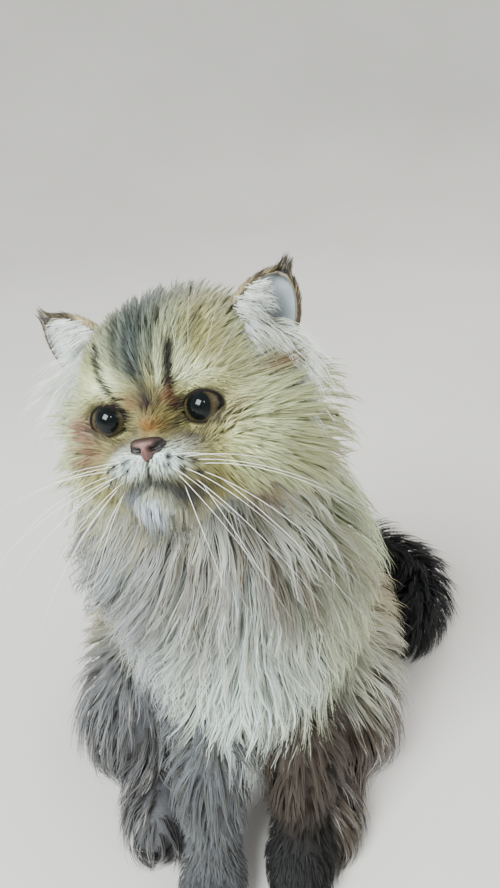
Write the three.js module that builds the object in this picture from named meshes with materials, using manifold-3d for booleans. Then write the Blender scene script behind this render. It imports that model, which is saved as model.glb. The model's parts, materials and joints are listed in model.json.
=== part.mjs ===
// A life-size Persian cat, seated, with its head turned and tipped up to one side.
// Millimetres, +Z up. The cat faces -Y, its left side is +X, and it sits on Z = 0.
// The origin is on the floor under the middle of the rump.
import * as THREE from "three";
import { mergeVertices } from "three/addons/utils/BufferGeometryUtils.js";
import Module from "manifold-3d";

const wasm = await Module();
wasm.setup();

const degree = Math.PI / 180;
const gap = 0.35; // kept between pieces that touch
const at = (x, y, z) => new THREE.Vector3(x, y, z);
const sides = [["left", 1], ["right", -1]];

// Driving dimensions
const headMiddle = at(-28, -145, 332);
const headYaw = 16; // degrees to the cat's right
const headPitch = 25; // degrees up
const headRoll = 16; // degrees, left ear up
const eyeRadius = 11;
const eyeMiddle = at(23, -28.5, 3.5); // this and the next places are in the head's own frame, left side
const lidOpening = [50, 40]; // degrees from the look's axis to the lid's edge, across and up
const lidThickness = 1.7;
const noseMiddle = at(0, -48, -9.5);
const earBase = at(41, 3, 29);
const earTip = at(64, -7, 60);
const earWidth = 38;
const earCup = 13; // how far the ear's back bulges behind its rims
const earThickness = 2.4;
const mouthLine = [[0, -15], [0, -20], [0, -25], [5, -26.5], [10, -30], [14, -35]]; // across and up
const pawSpread = { left: 39, right: -19 }; // the fore paws stand a little to the left
const pawReach = { left: -190, right: -204 };
const kneeSpread = { left: 74, right: 84 };
const longCoat = [8, 24]; // from this depth on a coat is made of locks, and at this depth its core is thinnest
const coreShare = 0.5; // how far the core then reaches through the coat

// The head's own frame: the face looks along its -Y, and its origin is the middle of the skull.
const headFrame = new THREE.Matrix4()
  .makeRotationFromEuler(new THREE.Euler(-headPitch * degree, -headRoll * degree, -headYaw * degree, "ZXY"))
  .setPosition(headMiddle);
const headInverse = headFrame.clone().invert();
const onHead = (point) => point.clone().applyMatrix4(headFrame);
const alongHead = (direction) => direction.clone().transformDirection(headFrame);

// Flesh is a blend of balls and limbs, each with the depth of the coat over it.
function ball(middle, radii, coat) {
  return { middle, radii, coat };
}

function limb(from, to, fromRadius, toRadius, coat) {
  return { from, to, fromRadius, toRadius, coat };
}

// A dent pushes the flesh in round its middle.
function dent(middle, width, depth) {
  return { middle, width, depth };
}

function distanceTo(shape, point) {
  if (shape.radii) {
    const offset = point.clone().sub(shape.middle).divide(shape.radii);
    const steepness = offset.clone().divide(shape.radii).length();
    const reach = offset.length();
    return steepness < 1e-9 ? -Math.min(...shape.radii.toArray()) : (reach * (reach - 1)) / steepness;
  }
  const axis = shape.to.clone().sub(shape.from);
  const along = point.clone().sub(shape.from).dot(axis) / axis.lengthSq();
  const share = THREE.MathUtils.clamp(along, 0, 1);
  const nearest = shape.from.clone().addScaledVector(axis, share);
  return point.distanceTo(nearest) - THREE.MathUtils.lerp(shape.fromRadius, shape.toRadius, share);
}

// Returns a field that gives, at a point, the distance to the blended flesh and the depth of coat there.
function flesh(shapes, softness, frameInverse = null, dents = []) {
  return (point) => {
    const local = frameInverse ? point.clone().applyMatrix4(frameInverse) : point;
    const distances = shapes.map((shape) => distanceTo(shape, local));
    const nearest = Math.min(...distances);
    const weights = distances.map((distance) => Math.exp((nearest - distance) / softness));
    const total = weights.reduce((sum, weight) => sum + weight, 0);
    const coat = shapes.reduce((sum, shape, i) => sum + shape.coat * weights[i], 0) / total;
    const pushed = dents.reduce((sum, { middle, width, depth }) =>
      sum + depth * Math.exp(-local.distanceToSquared(middle) / (width * width)), 0);
    return { distance: nearest - softness * Math.log(total) + pushed, coat };
  };
}

// Several fields blended into one
function blend(fields, softness) {
  return (point) => {
    const found = fields.map((field) => field(point));
    const nearest = Math.min(...found.map(({ distance }) => distance));
    const weights = found.map(({ distance }) => Math.exp((nearest - distance) / softness));
    const total = weights.reduce((sum, weight) => sum + weight, 0);
    const coat = found.reduce((sum, part, i) => sum + part.coat * weights[i], 0) / total;
    return { distance: nearest - softness * Math.log(total), coat };
  };
}

// The body's flesh
const torsoFlesh = flesh([
  ball(at(0, 14, 66), at(62, 58, 60), 30),
  ball(at(0, -42, 105), at(60, 58, 72), 32),
  ball(at(0, -92, 168), at(56, 54, 72), 38),
  ball(at(0, -92, 218), at(54, 46, 42), 44),
  ball(at(0, -118, 118), at(40, 32, 34), 36), // the chest's fringe hangs over the fore legs
], 10);

const neckFlesh = flesh([
  ball(at(-20, -98, 262), at(60, 38, 42), 44),
  ball(at(-12, -112, 222), at(56, 34, 38), 44),
], 10);

const headShapes = [
  ball(at(0, 6, 10), at(45, 43, 40), 11),
  ball(at(0, -14, 27), at(33, 25, 22), 8),
  ball(at(38, 10, -8), at(18, 20, 27), 28),
  ball(at(-38, 10, -8), at(18, 20, 27), 28),
  ball(at(20, -27, 17), at(13, 9, 6), 3),
  ball(at(-20, -27, 17), at(13, 9, 6), 3),
  ball(at(30, -12, -14), at(20, 22, 20), 9),
  ball(at(-30, -12, -14), at(20, 22, 20), 9),
  ball(at(0, -34, 0), at(8, 11, 9), 2),
  ball(at(10, -38, -19), at(13, 13, 10), 3.5),
  ball(at(-10, -38, -19), at(13, 13, 10), 3.5),
  ball(at(0, -24, -28), at(20, 18, 12), 9),
  ball(at(0, -39, -34), at(10, 9, 8), 6),
];
const headDents = sides.flatMap(([, side]) => [
  dent(at(side * 22.5, -38, 3.5), 13, 10), // round the eye
  dent(at(side * 12, -43, 0), 6, 4), // at its inner corner
]);
const headFlesh = flesh(headShapes, 3, headInverse, headDents);

function hindLegFlesh(side) {
  const out = side * kneeSpread[side > 0 ? "left" : "right"];
  return flesh([
    ball(at(side * 70, -28, 62), at(36, 60, 56), 28),
    ball(at(out, -88, 42), at(30, 38, 38), 26),
  ], 10);
}

function hindPawFlesh(side) {
  const toes = [-9, -3, 3, 9].map((x) =>
    ball(at(side * 62 + x, -168 - 3 * (Math.abs(x) < 5), 10), at(6, 12, 9), 4));
  return flesh([limb(at(side * 70, -104, 17), at(side * 62, -156, 13), 18, 14, 9), ...toes], 4);
}

function frontLegFlesh(name) {
  const side = name === "left" ? 1 : -1;
  const wrist = at(pawSpread[name], pawReach[name] + 14, 30);
  return flesh([
    limb(at(side * 32, -108, 140), at(wrist.x, wrist.y + 20, 84), 18, 14, 11),
    limb(at(wrist.x, wrist.y + 20, 84), wrist, 14, 13, 8),
  ], 8);
}

function frontPawFlesh(name) {
  const middle = at(pawSpread[name], pawReach[name], 13);
  const toes = [-12, -4.2, 4.2, 12].map((x) =>
    ball(at(middle.x + x, middle.y - 11 - 4 * (Math.abs(x) < 6), 10), at(6.4, 13, 9.5), 4));
  return flesh([ball(middle, at(18, 20, 15), 6), ...toes], 3.5);
}

// The tail's line, from the rump round the cat's left side
const tailLine = new THREE.CatmullRomCurve3([
  at(14, 52, 44), at(74, 96, 38), at(134, 98, 36), at(170, 64, 34), at(166, 26, 29), at(148, 2, 23),
]);
const tailRadius = [12, 7]; // flesh at the root and at the tip
const tailCoat = 26;

function tailFlesh(from, to) {
  const steps = 5;
  const shapes = [];
  for (let i = 0; i < steps; i++) {
    const a = THREE.MathUtils.lerp(from, to, i / steps);
    const b = THREE.MathUtils.lerp(from, to, (i + 1) / steps);
    const radius = (share) => THREE.MathUtils.lerp(tailRadius[0], tailRadius[1], share);
    const coat = tailCoat * Math.sin(Math.PI * (0.2 + 0.62 * b)) ** 0.6;
    shapes.push(limb(tailLine.getPointAt(a), tailLine.getPointAt(b), radius(a), radius(b), coat));
  }
  return flesh(shapes, 5);
}

// Solids
function solidOf(geometry) {
  const bare = geometry.clone();
  bare.deleteAttribute("normal");
  bare.deleteAttribute("uv");
  const merged = mergeVertices(bare, 1e-3);
  return new wasm.Manifold(new wasm.Mesh({
    numProp: 3,
    vertProperties: merged.attributes.position.array,
    triVerts: new Uint32Array(merged.index.array),
  }));
}

function geometryOf(solid) {
  const mesh = solid.getMesh();
  const places = new Float32Array(mesh.numVert * 3);
  for (let i = 0; i < mesh.numVert; i++) {
    places.set(mesh.vertProperties.subarray(i * mesh.numProp, i * mesh.numProp + 3), i * 3);
  }
  return new THREE.BufferGeometry()
    .setAttribute("position", new THREE.BufferAttribute(places, 3))
    .setIndex(new THREE.BufferAttribute(mesh.triVerts, 1));
}

// The largest closed surface of a solid, which fills sealed hollows and drops loose scraps
function largest(solid) {
  const rounded = solidOf(geometryOf(solid));
  return rounded.decompose().reduce((best, piece) => (piece.volume() > best.volume() ? piece : best));
}

function join(...pieces) {
  return wasm.Manifold.union(pieces);
}

// The faces between two rows of corners, with the last corner joined to the first if the rows are closed.
function strip(rowA, rowB, closed) {
  const faces = [];
  const last = closed ? rowA.length : rowA.length - 1;
  for (let j = 0; j < last; j++) {
    const next = (j + 1) % rowA.length;
    faces.push(rowA[j], rowA[next], rowB[next], rowA[j], rowB[next], rowB[j]);
  }
  return faces;
}

function meshOf(points, faces) {
  return new THREE.BufferGeometry()
    .setAttribute("position", new THREE.Float32BufferAttribute(points.flatMap((point) => point.toArray()), 3))
    .setIndex(faces);
}

const cornersOf = (grid) => grid.map((row, i) => row.map((_, j) => i * row.length + j));

// A skin over rings of points, closed by a fan at each end, or joined end to end if it is looped.
function skinOf(rings, looped = false) {
  const points = rings.flat();
  const rows = cornersOf(rings);
  const faces = rows.slice(1).flatMap((row, i) => strip(rows[i], row, true));
  if (looped) return meshOf(points, [...faces, ...strip(rows.at(-1), rows[0], true)]);
  [rings[0], rings.at(-1)].forEach((ring, end) => {
    const row = end ? rows.at(-1) : rows[0];
    const hub = points.length;
    points.push(ring.reduce((sum, point) => sum.add(point), at(0, 0, 0)).divideScalar(ring.length));
    row.forEach((corner, j) => {
      const next = row[(j + 1) % row.length];
      faces.push(...(end ? [corner, next, hub] : [next, corner, hub]));
    });
  });
  return meshOf(points, faces);
}

// A sheet between an outer and an inner grid of points, closed along its four edges.
function sheetOf(outer, inner, flipped) {
  const points = [...outer.flat(), ...inner.flat()];
  const front = cornersOf(outer);
  const back = front.map((row) => row.map((corner) => corner + outer.flat().length));
  const faces = front.slice(1).flatMap((row, i) => [
    ...strip(front[i], row, false), ...strip(back[i], row.map((corner) => corner + outer.flat().length), false)
      .map((_, k, all) => all[k - (k % 3) + [0, 2, 1][k % 3]]),
  ]);
  const rim = [
    ...front[0].map((corner, j) => [corner, back[0][j]]),
    ...front.slice(1).map((row, i) => [row.at(-1), back[i + 1].at(-1)]),
    ...front.at(-1).slice(0, -1).map((corner, j) => [corner, back.at(-1)[j]]).reverse(),
    ...front.slice(1, -1).map((row, i) => [row[0], back[i + 1][0]]).reverse(),
  ];
  faces.push(...strip(rim.map((pair) => pair[1]), rim.map((pair) => pair[0]), true));
  if (flipped) faces.reverse();
  return meshOf(points, faces);
}

// A bar of round section along a line of points.
function barOf(points, radiusAt, around) {
  const curve = new THREE.CatmullRomCurve3(points);
  const steps = points.length * 2 - 2;
  const { normals, binormals } = curve.computeFrenetFrames(steps, false);
  const rings = normals.map((normal, i) => {
    const middle = curve.getPointAt(i / steps);
    return Array.from({ length: around }, (_, j) => {
      const turn = (2 * Math.PI * j) / around;
      return middle.clone().addScaledVector(normal, Math.cos(turn) * radiusAt(i / steps))
        .addScaledVector(binormals[i], Math.sin(turn) * radiusAt(i / steps));
    });
  });
  return solidOf(skinOf(rings));
}

// The depth of coat that belongs to the core, where the rest is locks
function coreDepth(coat) {
  return coat * THREE.MathUtils.lerp(1, coreShare, THREE.MathUtils.smoothstep(coat, ...longCoat));
}

// The point on a ray where it leaves the core.
function surfaceAlong(field, from, direction, growth = 0) {
  const step = 3;
  const beyond = (reach) => {
    const { distance, coat } = field(from.clone().addScaledVector(direction, reach));
    return distance - coreDepth(coat) - growth;
  };
  let far = step;
  while (beyond(far) < 0 && far < 400) far += step;
  let near = far - step;
  for (let i = 0; i < 14; i++) {
    const middle = (near + far) / 2;
    if (beyond(middle) < 0) near = middle;
    else far = middle;
  }
  return from.clone().addScaledVector(direction, (near + far) / 2);
}

// Wraps a field with rays from a line: rings along the line and a dome on each end.
function wrap(field, { from, to, across, around, rings, dome, growth = 0 }) {
  const axis = to.clone().sub(from).normalize();
  const side = across.clone().addScaledVector(axis, -across.dot(axis)).normalize();
  const up = axis.clone().cross(side);
  const ring = (middle, lean) => Array.from({ length: around }, (_, j) => {
    const turn = (2 * Math.PI * j) / around;
    const direction = side.clone().multiplyScalar(Math.cos(turn) * Math.cos(lean))
      .addScaledVector(up, Math.sin(turn) * Math.cos(lean))
      .addScaledVector(axis, Math.sin(lean));
    return surfaceAlong(field, middle, direction, growth);
  });
  const leanAt = (i) => 90 * degree * (1 - i / (dome + 1));
  const count = (n) => Array.from({ length: n }, (_, i) => i);
  return solidOf(skinOf([
    ...count(dome).map((i) => ring(from, -leanAt(i + 1))),
    ...count(rings).map((i) => ring(from.clone().lerp(to, i / (rings - 1)), 0)),
    ...count(dome).map((i) => ring(to, leanAt(dome - i))),
  ]));
}

// The head
function headSolid(growth) {
  const skull = wrap(headFlesh, { ...forms.head, growth });
  if (growth) return skull;
  const lids = sides.map(([, side]) => lidSolid(side));
  const sockets = sides.map(([, side]) => eyeball(side, eyeRadius + gap));
  const onFace = ([x, z]) =>
    surfaceAlong(headFlesh, onHead(at(x, -20, z)), alongHead(at(0, -1, 0)));
  const lips = sides.map(([, side]) => barOf(mouthLine.map(([x, z]) => onFace([x * side, z])), () => 1.1, 4));
  return join(skull, ...lids).subtract(join(...sockets, ...lips));
}

// The rim of an eye's lids: a looped bar on a sphere just outside the eyeball.
function lidSolid(side) {
  const around = 16;
  const reach = eyeRadius + gap + lidThickness;
  const rings = Array.from({ length: around }, (_, i) => {
    const turn = (-side * 2 * Math.PI * i) / around;
    const [across, up] = lidOpening.map((angle) => Math.sin(angle * degree));
    const look = at(side * Math.cos(turn) * across, 0, Math.sin(turn) * up);
    look.y = -Math.sqrt(1 - look.lengthSq());
    const rim = at(side * Math.cos(turn), 0, Math.sin(turn));
    const outward = rim.addScaledVector(look, -rim.dot(look)).normalize();
    const middle = look.clone().multiplyScalar(reach).add(at(side * eyeMiddle.x, eyeMiddle.y, eyeMiddle.z));
    const thickness = lidThickness * (1 + 0.25 * Math.sin(turn) * -side * -side);
    return Array.from({ length: 5 }, (_, j) => {
      const angle = (2 * Math.PI * j) / 5;
      return onHead(middle.clone().addScaledVector(outward, Math.cos(angle) * thickness)
        .addScaledVector(look, Math.sin(angle) * thickness));
    });
  });
  return solidOf(skinOf(rings, true));
}

function eyeball(side, radius) {
  const ball = new THREE.SphereGeometry(radius, 14, 8).rotateX(90 * degree)
    .translate(side * eyeMiddle.x, eyeMiddle.y, eyeMiddle.z);
  return solidOf(ball.applyMatrix4(headFrame));
}

function eyeSolid(side) {
  const bulge = 0.7; // how far the cornea stands out of the eyeball
  const corneaRadius = 8.4;
  const cornea = new THREE.SphereGeometry(corneaRadius, 10, 6).rotateX(90 * degree)
    .translate(side * eyeMiddle.x, eyeMiddle.y - (eyeRadius + bulge - corneaRadius), eyeMiddle.z);
  return join(eyeball(side, eyeRadius), solidOf(cornea.applyMatrix4(headFrame)));
}

// The nose leather, a blunt triangle with a comma-shaped nostril on each side
const noseFlesh = flesh([
  ball(noseMiddle.clone().add(at(0, -1, 1)), at(7.5, 5, 3.6), 0),
  ball(noseMiddle.clone().add(at(5, -1, -1.2)), at(3.6, 4.6, 3.4), 0),
  ball(noseMiddle.clone().add(at(-5, -1, -1.2)), at(3.6, 4.6, 3.4), 0),
  ball(noseMiddle.clone().add(at(0, -1.5, -4)), at(2.8, 4.2, 3.6), 0),
], 1.2, headInverse);

function noseSolid(growth) {
  const leather = wrap(noseFlesh, {
    from: onHead(noseMiddle.clone().add(at(0, 1, 0))), to: onHead(noseMiddle.clone().add(at(0, -2, 0))),
    across: alongHead(at(1, 0, 0)), around: 12, rings: 2, dome: 3, growth });
  if (growth) return leather;
  const nostrils = sides.map(([, side]) => solidOf(new THREE.SphereGeometry(1, 8, 5).scale(2.3, 3.4, 1.2)
    .rotateY(side * 24 * degree).translate(side * 4.6, noseMiddle.y - 6.2, noseMiddle.z - 1.4)
    .applyMatrix4(headFrame)));
  return leather.subtract(join(...nostrils));
}

// An ear is a cupped leaf with a rounded tip, its hollow turned forward and out.
function earAxes(side) {
  const [base, tip] = [earBase, earTip].map((point) => at(side * point.x, point.y, point.z));
  const up = tip.sub(base);
  const height = up.length();
  up.normalize();
  const facing = at(side * 0.35, -1, -0.1);
  facing.addScaledVector(up, -facing.dot(up)).normalize();
  const outer = up.clone().cross(facing).multiplyScalar(side);
  return { base, up, facing, outer, height };
}

// A point of the ear: its share of the height, its turn from the inner rim to the outer one, and the inset of the skin
function onEar(side, share, turn, inset) {
  const { base, up, facing, outer, height } = earAxes(side);
  const narrowing = (1 - Math.max(0, share) ** 2.4) ** 0.6;
  const width = Math.max((earWidth / 2 - inset) * narrowing, 1.2);
  const cup = Math.max((earCup - inset) * narrowing, 0.8) * (1 - 0.25 * Math.max(0, share));
  return onHead(base.addScaledVector(up, share * (height - inset)).addScaledVector(outer, width * Math.sin(turn))
    .addScaledVector(facing, inset * 0.2 - cup * Math.cos(turn)));
}

function earSolid(side, growth) {
  const rows = [-0.45, -0.15, 0.15, 0.4, 0.62, 0.8, 0.92, 1];
  const turns = Array.from({ length: 8 }, (_, j) => (j / 7 - 0.5) * Math.PI);
  const grid = (inset) => rows.map((share) => turns.map((turn) => onEar(side, share, turn, inset)));
  const leaf = solidOf(sheetOf(grid(-growth), grid(earThickness + growth), side > 0));
  return join(leaf, ...earHair(side).map((line, i) => lockSolid(line, i < 5 ? 7 : 5, 1.8, growth)));
}

// Long hair sweeps out of the cup from its inner wall, and a small tuft stands on the tip.
function earHair(side) {
  const { up, facing, outer } = earAxes(side);
  const [normal, rise, out] = [facing, up, outer].map(alongHead);
  const hair = (start, sweep, length, bow) => {
    const along = sweep.clone().normalize();
    const across = along.clone().cross(normal).normalize();
    const over = across.clone().cross(along);
    return Array.from({ length: 5 }, (_, i) => ({
      point: start.clone().addScaledVector(along, (length * i) / 4).addScaledVector(over, bow * Math.sin((i / 4) * 2)),
      normal: over,
      along,
    }));
  };
  const inside = Array.from({ length: 5 }, (_, i) => hair(
    onEar(side, 0.02 + 0.14 * i, -0.75, earThickness / 2),
    out.clone().addScaledVector(rise, 0.35 + 0.15 * i).addScaledVector(normal, 0.35), 42 - 3 * i, 3));
  const tip = [-0.4, 0, 0.4].map((lean) => hair(
    onEar(side, 0.9, lean, earThickness / 2), rise.clone().addScaledVector(out, 0.3 + lean), 15, 1));
  return [...inside, ...tip];
}

const belowFloor = solidOf(new THREE.BoxGeometry(1200, 1200, 200).translate(0, 0, -100));

// Locks
// Per kind of node: a lock's length, width and thickness, the space between roots, and the way the hair lies
const coats = {
  head: { length: 40, width: 22, thickness: 3.5, spacing: 21, lie: (point) => {
    const fromNose = point.clone().applyMatrix4(headInverse).sub(noseMiddle).normalize();
    return alongHead(fromNose).add(at(0, 0, -0.5));
  } },
  neck: { length: 72, width: 32, thickness: 5, spacing: 27,
    lie: (point) => at((point.x + 10) * 0.003, (point.y + 110) * 0.005, -1) },
  torso: { length: 66, width: 35, thickness: 5, spacing: 31,
    lie: (point) => at(point.x * 0.002, THREE.MathUtils.clamp((point.y + 100) * 0.009, -0.05, 0.8), -1) },
  hind_leg: { length: 54, width: 31, thickness: 4.5, spacing: 28,
    lie: (point) => at(point.x * 0.002, 0.2, -1) },
  tail: { length: 44, width: 23, thickness: 4, spacing: 25,
    lie: (point) => tailLie(point) },
};
const coatOf = (name) => Object.keys(coats).find((kind) => name.startsWith(kind));

function tailLie(point) {
  const shares = Array.from({ length: 41 }, (_, i) => i / 40);
  const off = (share) => tailLine.getPointAt(share).distanceTo(point);
  const nearest = shares.reduce((best, share) => (off(share) < off(best) ? share : best));
  return tailLine.getTangentAt(nearest).add(at(0, 0, -0.35));
}

// A seeded random number from 0 to 1
let seed = 23;
function random() {
  seed = (Math.imul(seed, 1664525) + 1013904223) >>> 0;
  return seed / 4294967296;
}
const vary = (amount) => 1 + (random() * 2 - 1) * amount;

function outward(point) {
  const reach = 1.5;
  return at(...["x", "y", "z"].map((axis) => {
    const [ahead, behind] = [1, -1].map((sign) => point.clone().setComponent("xyz".indexOf(axis), point[axis] + sign * reach));
    return bodyFlesh(ahead).distance - bodyFlesh(behind).distance;
  })).normalize();
}

// Moves a point to a level of the body's coat, 0 at its core and 1 at its tips, raised by some millimetres.
function toLevel(point, level, raise, normal) {
  for (let i = 0; i < 3; i++) {
    const { distance, coat } = bodyFlesh(point);
    const wanted = THREE.MathUtils.lerp(coreDepth(coat), coat, level) + raise;
    point.addScaledVector(normal, wanted - distance);
  }
  return point;
}

// A lock's line runs on from its root along the lie, and rises to the tips' level.
function lockLine(root, lie, length, turn, lift, raise) {
  const sink = 5;
  const steps = 4;
  const start = root.clone();
  const line = [];
  const point = root.clone();
  for (let i = 0; i <= steps; i++) {
    const normal = outward(point);
    const along = lie(point);
    along.addScaledVector(normal, -along.dot(normal)).normalize();
    along.applyAxisAngle(normal, turn * (1 - i / steps));
    line.push({ point: i ? point.clone() : start.addScaledVector(normal, -sink), normal, along });
    point.addScaledVector(along, length / steps);
    toLevel(point, lift * ((i + 1) / steps) ** 0.5, raise, normal);
    point.z = Math.max(point.z, 2.5);
  }
  return line;
}

// Whether a lock's line bends no more than a lock can.
function isSmooth(line) {
  const legs = line.slice(1).map(({ point }, i) => point.clone().sub(line[i].point).normalize());
  return legs.slice(1).every((leg, i) => leg.dot(legs[i]) > 0.55)
    && line.slice(1).every(({ normal, along }, i) => normal.dot(line[i].normal) > 0.5 && legs[i].dot(along) > 0.4);
}

// A flat, tapered lock with a ridge along its back
function lockSolid(line, width, thickness, growth) {
  const taper = [0.8, 1, 0.86, 0.52];
  const rings = taper.map((share, i) => {
    const { point, normal, along } = line[i];
    const across = along.clone().cross(normal);
    const half = (width / 2) * share + growth * 5;
    const corner = (side, up) => point.clone().addScaledVector(across, half * side).addScaledVector(normal, up);
    const low = -thickness * share * 0.35 - growth * 1.2;
    return [corner(-1, low), corner(0, thickness * share * 0.65 + growth * 1.2), corner(1, low)];
  });
  const last = line[taper.length];
  const tip = last.point.clone().addScaledVector(last.along, growth * 2);
  return solidOf(tipped(rings, tip));
}

// A skin over rings of points with a flat start and a pointed end
function tipped(rings, tip) {
  const rows = cornersOf(rings);
  const end = rings.flat().length;
  return meshOf([...rings.flat(), tip], [
    ...rows.slice(1).flatMap((row, i) => strip(rows[i], row, true)),
    ...rows[0].slice(1, -1).flatMap((corner, j) => [rows[0][0], rows[0][j + 2], corner]),
    ...rows.at(-1).flatMap((corner, j, row) => [corner, row[(j + 1) % row.length], end]),
  ]);
}

// Roots spread over a solid's skin at random, at least the spacing apart.
function rootsOn(solid, spacing) {
  const { vertProperties, triVerts, numProp } = solid.getMesh();
  const corner = (i) => at(...vertProperties.subarray(triVerts[i] * numProp, triVerts[i] * numProp + 3));
  const triangles = Array.from({ length: triVerts.length / 3 }, (_, i) =>
    new THREE.Triangle(corner(3 * i), corner(3 * i + 1), corner(3 * i + 2)));
  let area = 0;
  const upTo = triangles.map((triangle) => (area += triangle.getArea()));
  const roots = [];
  const draws = (30 * area) / (spacing * spacing);
  for (let i = 0; i < draws; i++) {
    const drawn = random() * area;
    const { a, b, c } = triangles[upTo.findIndex((sum) => sum >= drawn)];
    let [u, v] = [random(), random()];
    if (u + v > 1) [u, v] = [1 - u, 1 - v];
    const point = a.clone().multiplyScalar(1 - u - v).addScaledVector(b, u).addScaledVector(c, v);
    if (roots.every((root) => root.distanceTo(point) > spacing)) roots.push(point);
  }
  return roots;
}

// What a lock tries until it is clear: its share of the full length, its share of the full lift, and millimetres up
const lockTries = [[1, 1, 0], [1, 1, 3], [0.85, 1, 7], [1, 0.6, 0], [0.8, 0.4, 0], [0.7, 1, 4], [0.6, 0.2, 0]];

// The locks of a node that stay clear of what is in the way, shorter or flatter ones tried where they don't
function locksOf(name, core, inTheWay) {
  const kind = coatOf(name);
  if (!kind) return [];
  const { length, width, thickness, spacing, lie } = coats[kind];
  return rootsOn(core, spacing).flatMap((root) => {
    const [size, breadth, turn] = [length * vary(0.15), width * vary(0.15), (random() - 0.5) * 0.5];
    const { distance, coat } = bodyFlesh(root);
    const bare = coat < (longCoat[0] + longCoat[1]) / 2 || root.z < 8;
    const hidden = distance < coreDepth(coat) - 10;
    if (bare || hidden) return [];
    for (const [share, lift, raise] of lockTries) {
      const line = lockLine(root, lie, size * share, turn, lift, raise);
      const wide = breadth * share ** 0.5;
      const solid = lockSolid(line, wide, thickness, 0);
      if (isSmooth(line) && solid.intersect(inTheWay).volume() < 1e-3) {
        return [{ solid, grown: lockSolid(line, wide, thickness, gap) }];
      }
    }
    return [];
  });
}

// Every node with flesh and coat: its field, the line that it is wrapped from, and its mesh's fineness
const forms = {
  head: { field: headFlesh, from: onHead(at(0, 8, 4)), to: onHead(at(0, -16, -2)), across: alongHead(at(1, 0, 0)),
    around: 26, rings: 3, dome: 9 },
  neck: { field: neckFlesh, from: at(-6, -106, 232), to: at(-14, -98, 262), across: at(1, 0, 0),
    around: 18, rings: 3, dome: 3 },
  torso: { field: torsoFlesh, from: at(0, 6, 64), to: at(0, -90, 214), across: at(1, 0, 0),
    around: 18, rings: 7, dome: 3 },
};
sides.forEach(([name, side]) => {
  forms[`hind_leg_${name}`] = { field: hindLegFlesh(side), from: at(side * 70, -10, 58),
    to: at(side * kneeSpread[name], -84, 46), across: at(1, 0, 0), around: 14, rings: 4, dome: 2 };
  forms[`hind_paw_${name}`] = { field: hindPawFlesh(side), from: at(side * 70, -108, 14),
    to: at(side * 62, -160, 11), across: at(1, 0, 0), around: 14, rings: 5, dome: 3 };
  forms[`front_leg_${name}`] = { field: frontLegFlesh(name), from: at(side * 32, -110, 136),
    to: at(pawSpread[name], pawReach[name] + 16, 36), across: at(1, 0, 0), around: 12, rings: 6, dome: 2 };
  forms[`front_paw_${name}`] = { field: frontPawFlesh(name), from: at(pawSpread[name], pawReach[name] + 6, 13),
    to: at(pawSpread[name], pawReach[name] - 10, 11), across: at(1, 0, 0), around: 18, rings: 3, dome: 4 };
});
const tailParts = { tail_root: [0, 0.36], tail_middle: [0.36, 0.7], tail_tip: [0.7, 1] };
Object.entries(tailParts).forEach(([name, [from, to]]) => {
  forms[name] = { field: tailFlesh(from, to), from: tailLine.getPointAt(from + 0.06),
    to: tailLine.getPointAt(to - 0.06), across: at(0, 0, 1), around: 12, rings: 4, dome: 2 };
});
const bodyFlesh = blend(Object.values(forms).map((form) => form.field), 4);

// The core of a node, or its whole solid where it has no long coat
function coreOf(name, growth) {
  const [kind, side] = [name.split("_")[0], name.endsWith("left") ? 1 : -1];
  if (kind === "eye") return eyeSolid(side);
  if (kind === "ear") return earSolid(side, growth);
  if (kind === "nose") return noseSolid(growth);
  if (kind === "head") return headSolid(growth);
  return wrap(forms[name].field, { ...forms[name], growth });
}

// Each node is cut clear of those before it.
const order = [
  "eye_left", "eye_right", "head", "nose", "ear_left", "ear_right", "neck", "torso", "hind_leg_left", "hind_leg_right",
  "front_paw_left", "front_paw_right", "front_leg_left", "front_leg_right", "hind_paw_left", "hind_paw_right",
  "tail_root", "tail_middle", "tail_tip",
];
const grownCores = Object.fromEntries(order.map((name) => [name, coreOf(name, gap)]));
const solids = {};
const grown = [];
order.forEach((name, i) => {
  const later = order.slice(i + 1).filter((other) => !other.startsWith("eye")).map((other) => grownCores[other]);
  const inTheWay = join(...grown, join(...later).subtract(grownCores[name]));
  const core = largest(coreOf(name, 0).subtract(join(belowFloor, ...grown)));
  const locks = locksOf(name, core, inTheWay);
  const solid = join(core, ...locks.map((lock) => lock.solid)).subtract(belowFloor);
  solids[name] = largest(solid);
  if (!name.startsWith("eye")) grown.push(grownCores[name], ...locks.flatMap((lock) => [lock.grown, lock.solid]));
});

// The colour and roughness of each kind of part
const finishes = {
  eye: { color: 0x2b2a17, roughness: 0.08 },
  nose: { color: 0xa8635a, roughness: 0.5 },
  ear: { color: 0xb9a78f, roughness: 0.85 },
  front_paw: { color: 0x5f5952, roughness: 0.9 },
  hind_paw: { color: 0x5f5952, roughness: 0.9 },
  front_leg: { color: 0x8f867a, roughness: 0.9 },
  tail: { color: 0x3a3632, roughness: 0.9 },
  coat: { color: 0xcdbf9f, roughness: 0.9 },
};
const finishOf = (name) => Object.keys(finishes).find((kind) => name.startsWith(kind)) ?? "coat";

const cat = new THREE.Group();
Object.entries(solids).forEach(([name, solid]) => {
  const material = new THREE.MeshStandardMaterial({ ...finishes[finishOf(name)], metalness: 0 });
  const mesh = new THREE.Mesh(geometryOf(solid), material);
  mesh.name = name;
  cat.add(mesh);
});

export default cat;
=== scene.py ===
# %% [markdown]
# # A seated long-haired cat, dressed for a museum model
#
# The CAD source gives the cat's flesh, the depth of its coat everywhere, its eyes, ears and nose, and
# a coarse set of locks. Here the same forms become one smooth skin, and tens of thousands of thin,
# tapered strands grow from it in locks. Everything is worked out in millimetres, as in the CAD source,
# and becomes metres when a mesh is made.

import json
import math

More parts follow.
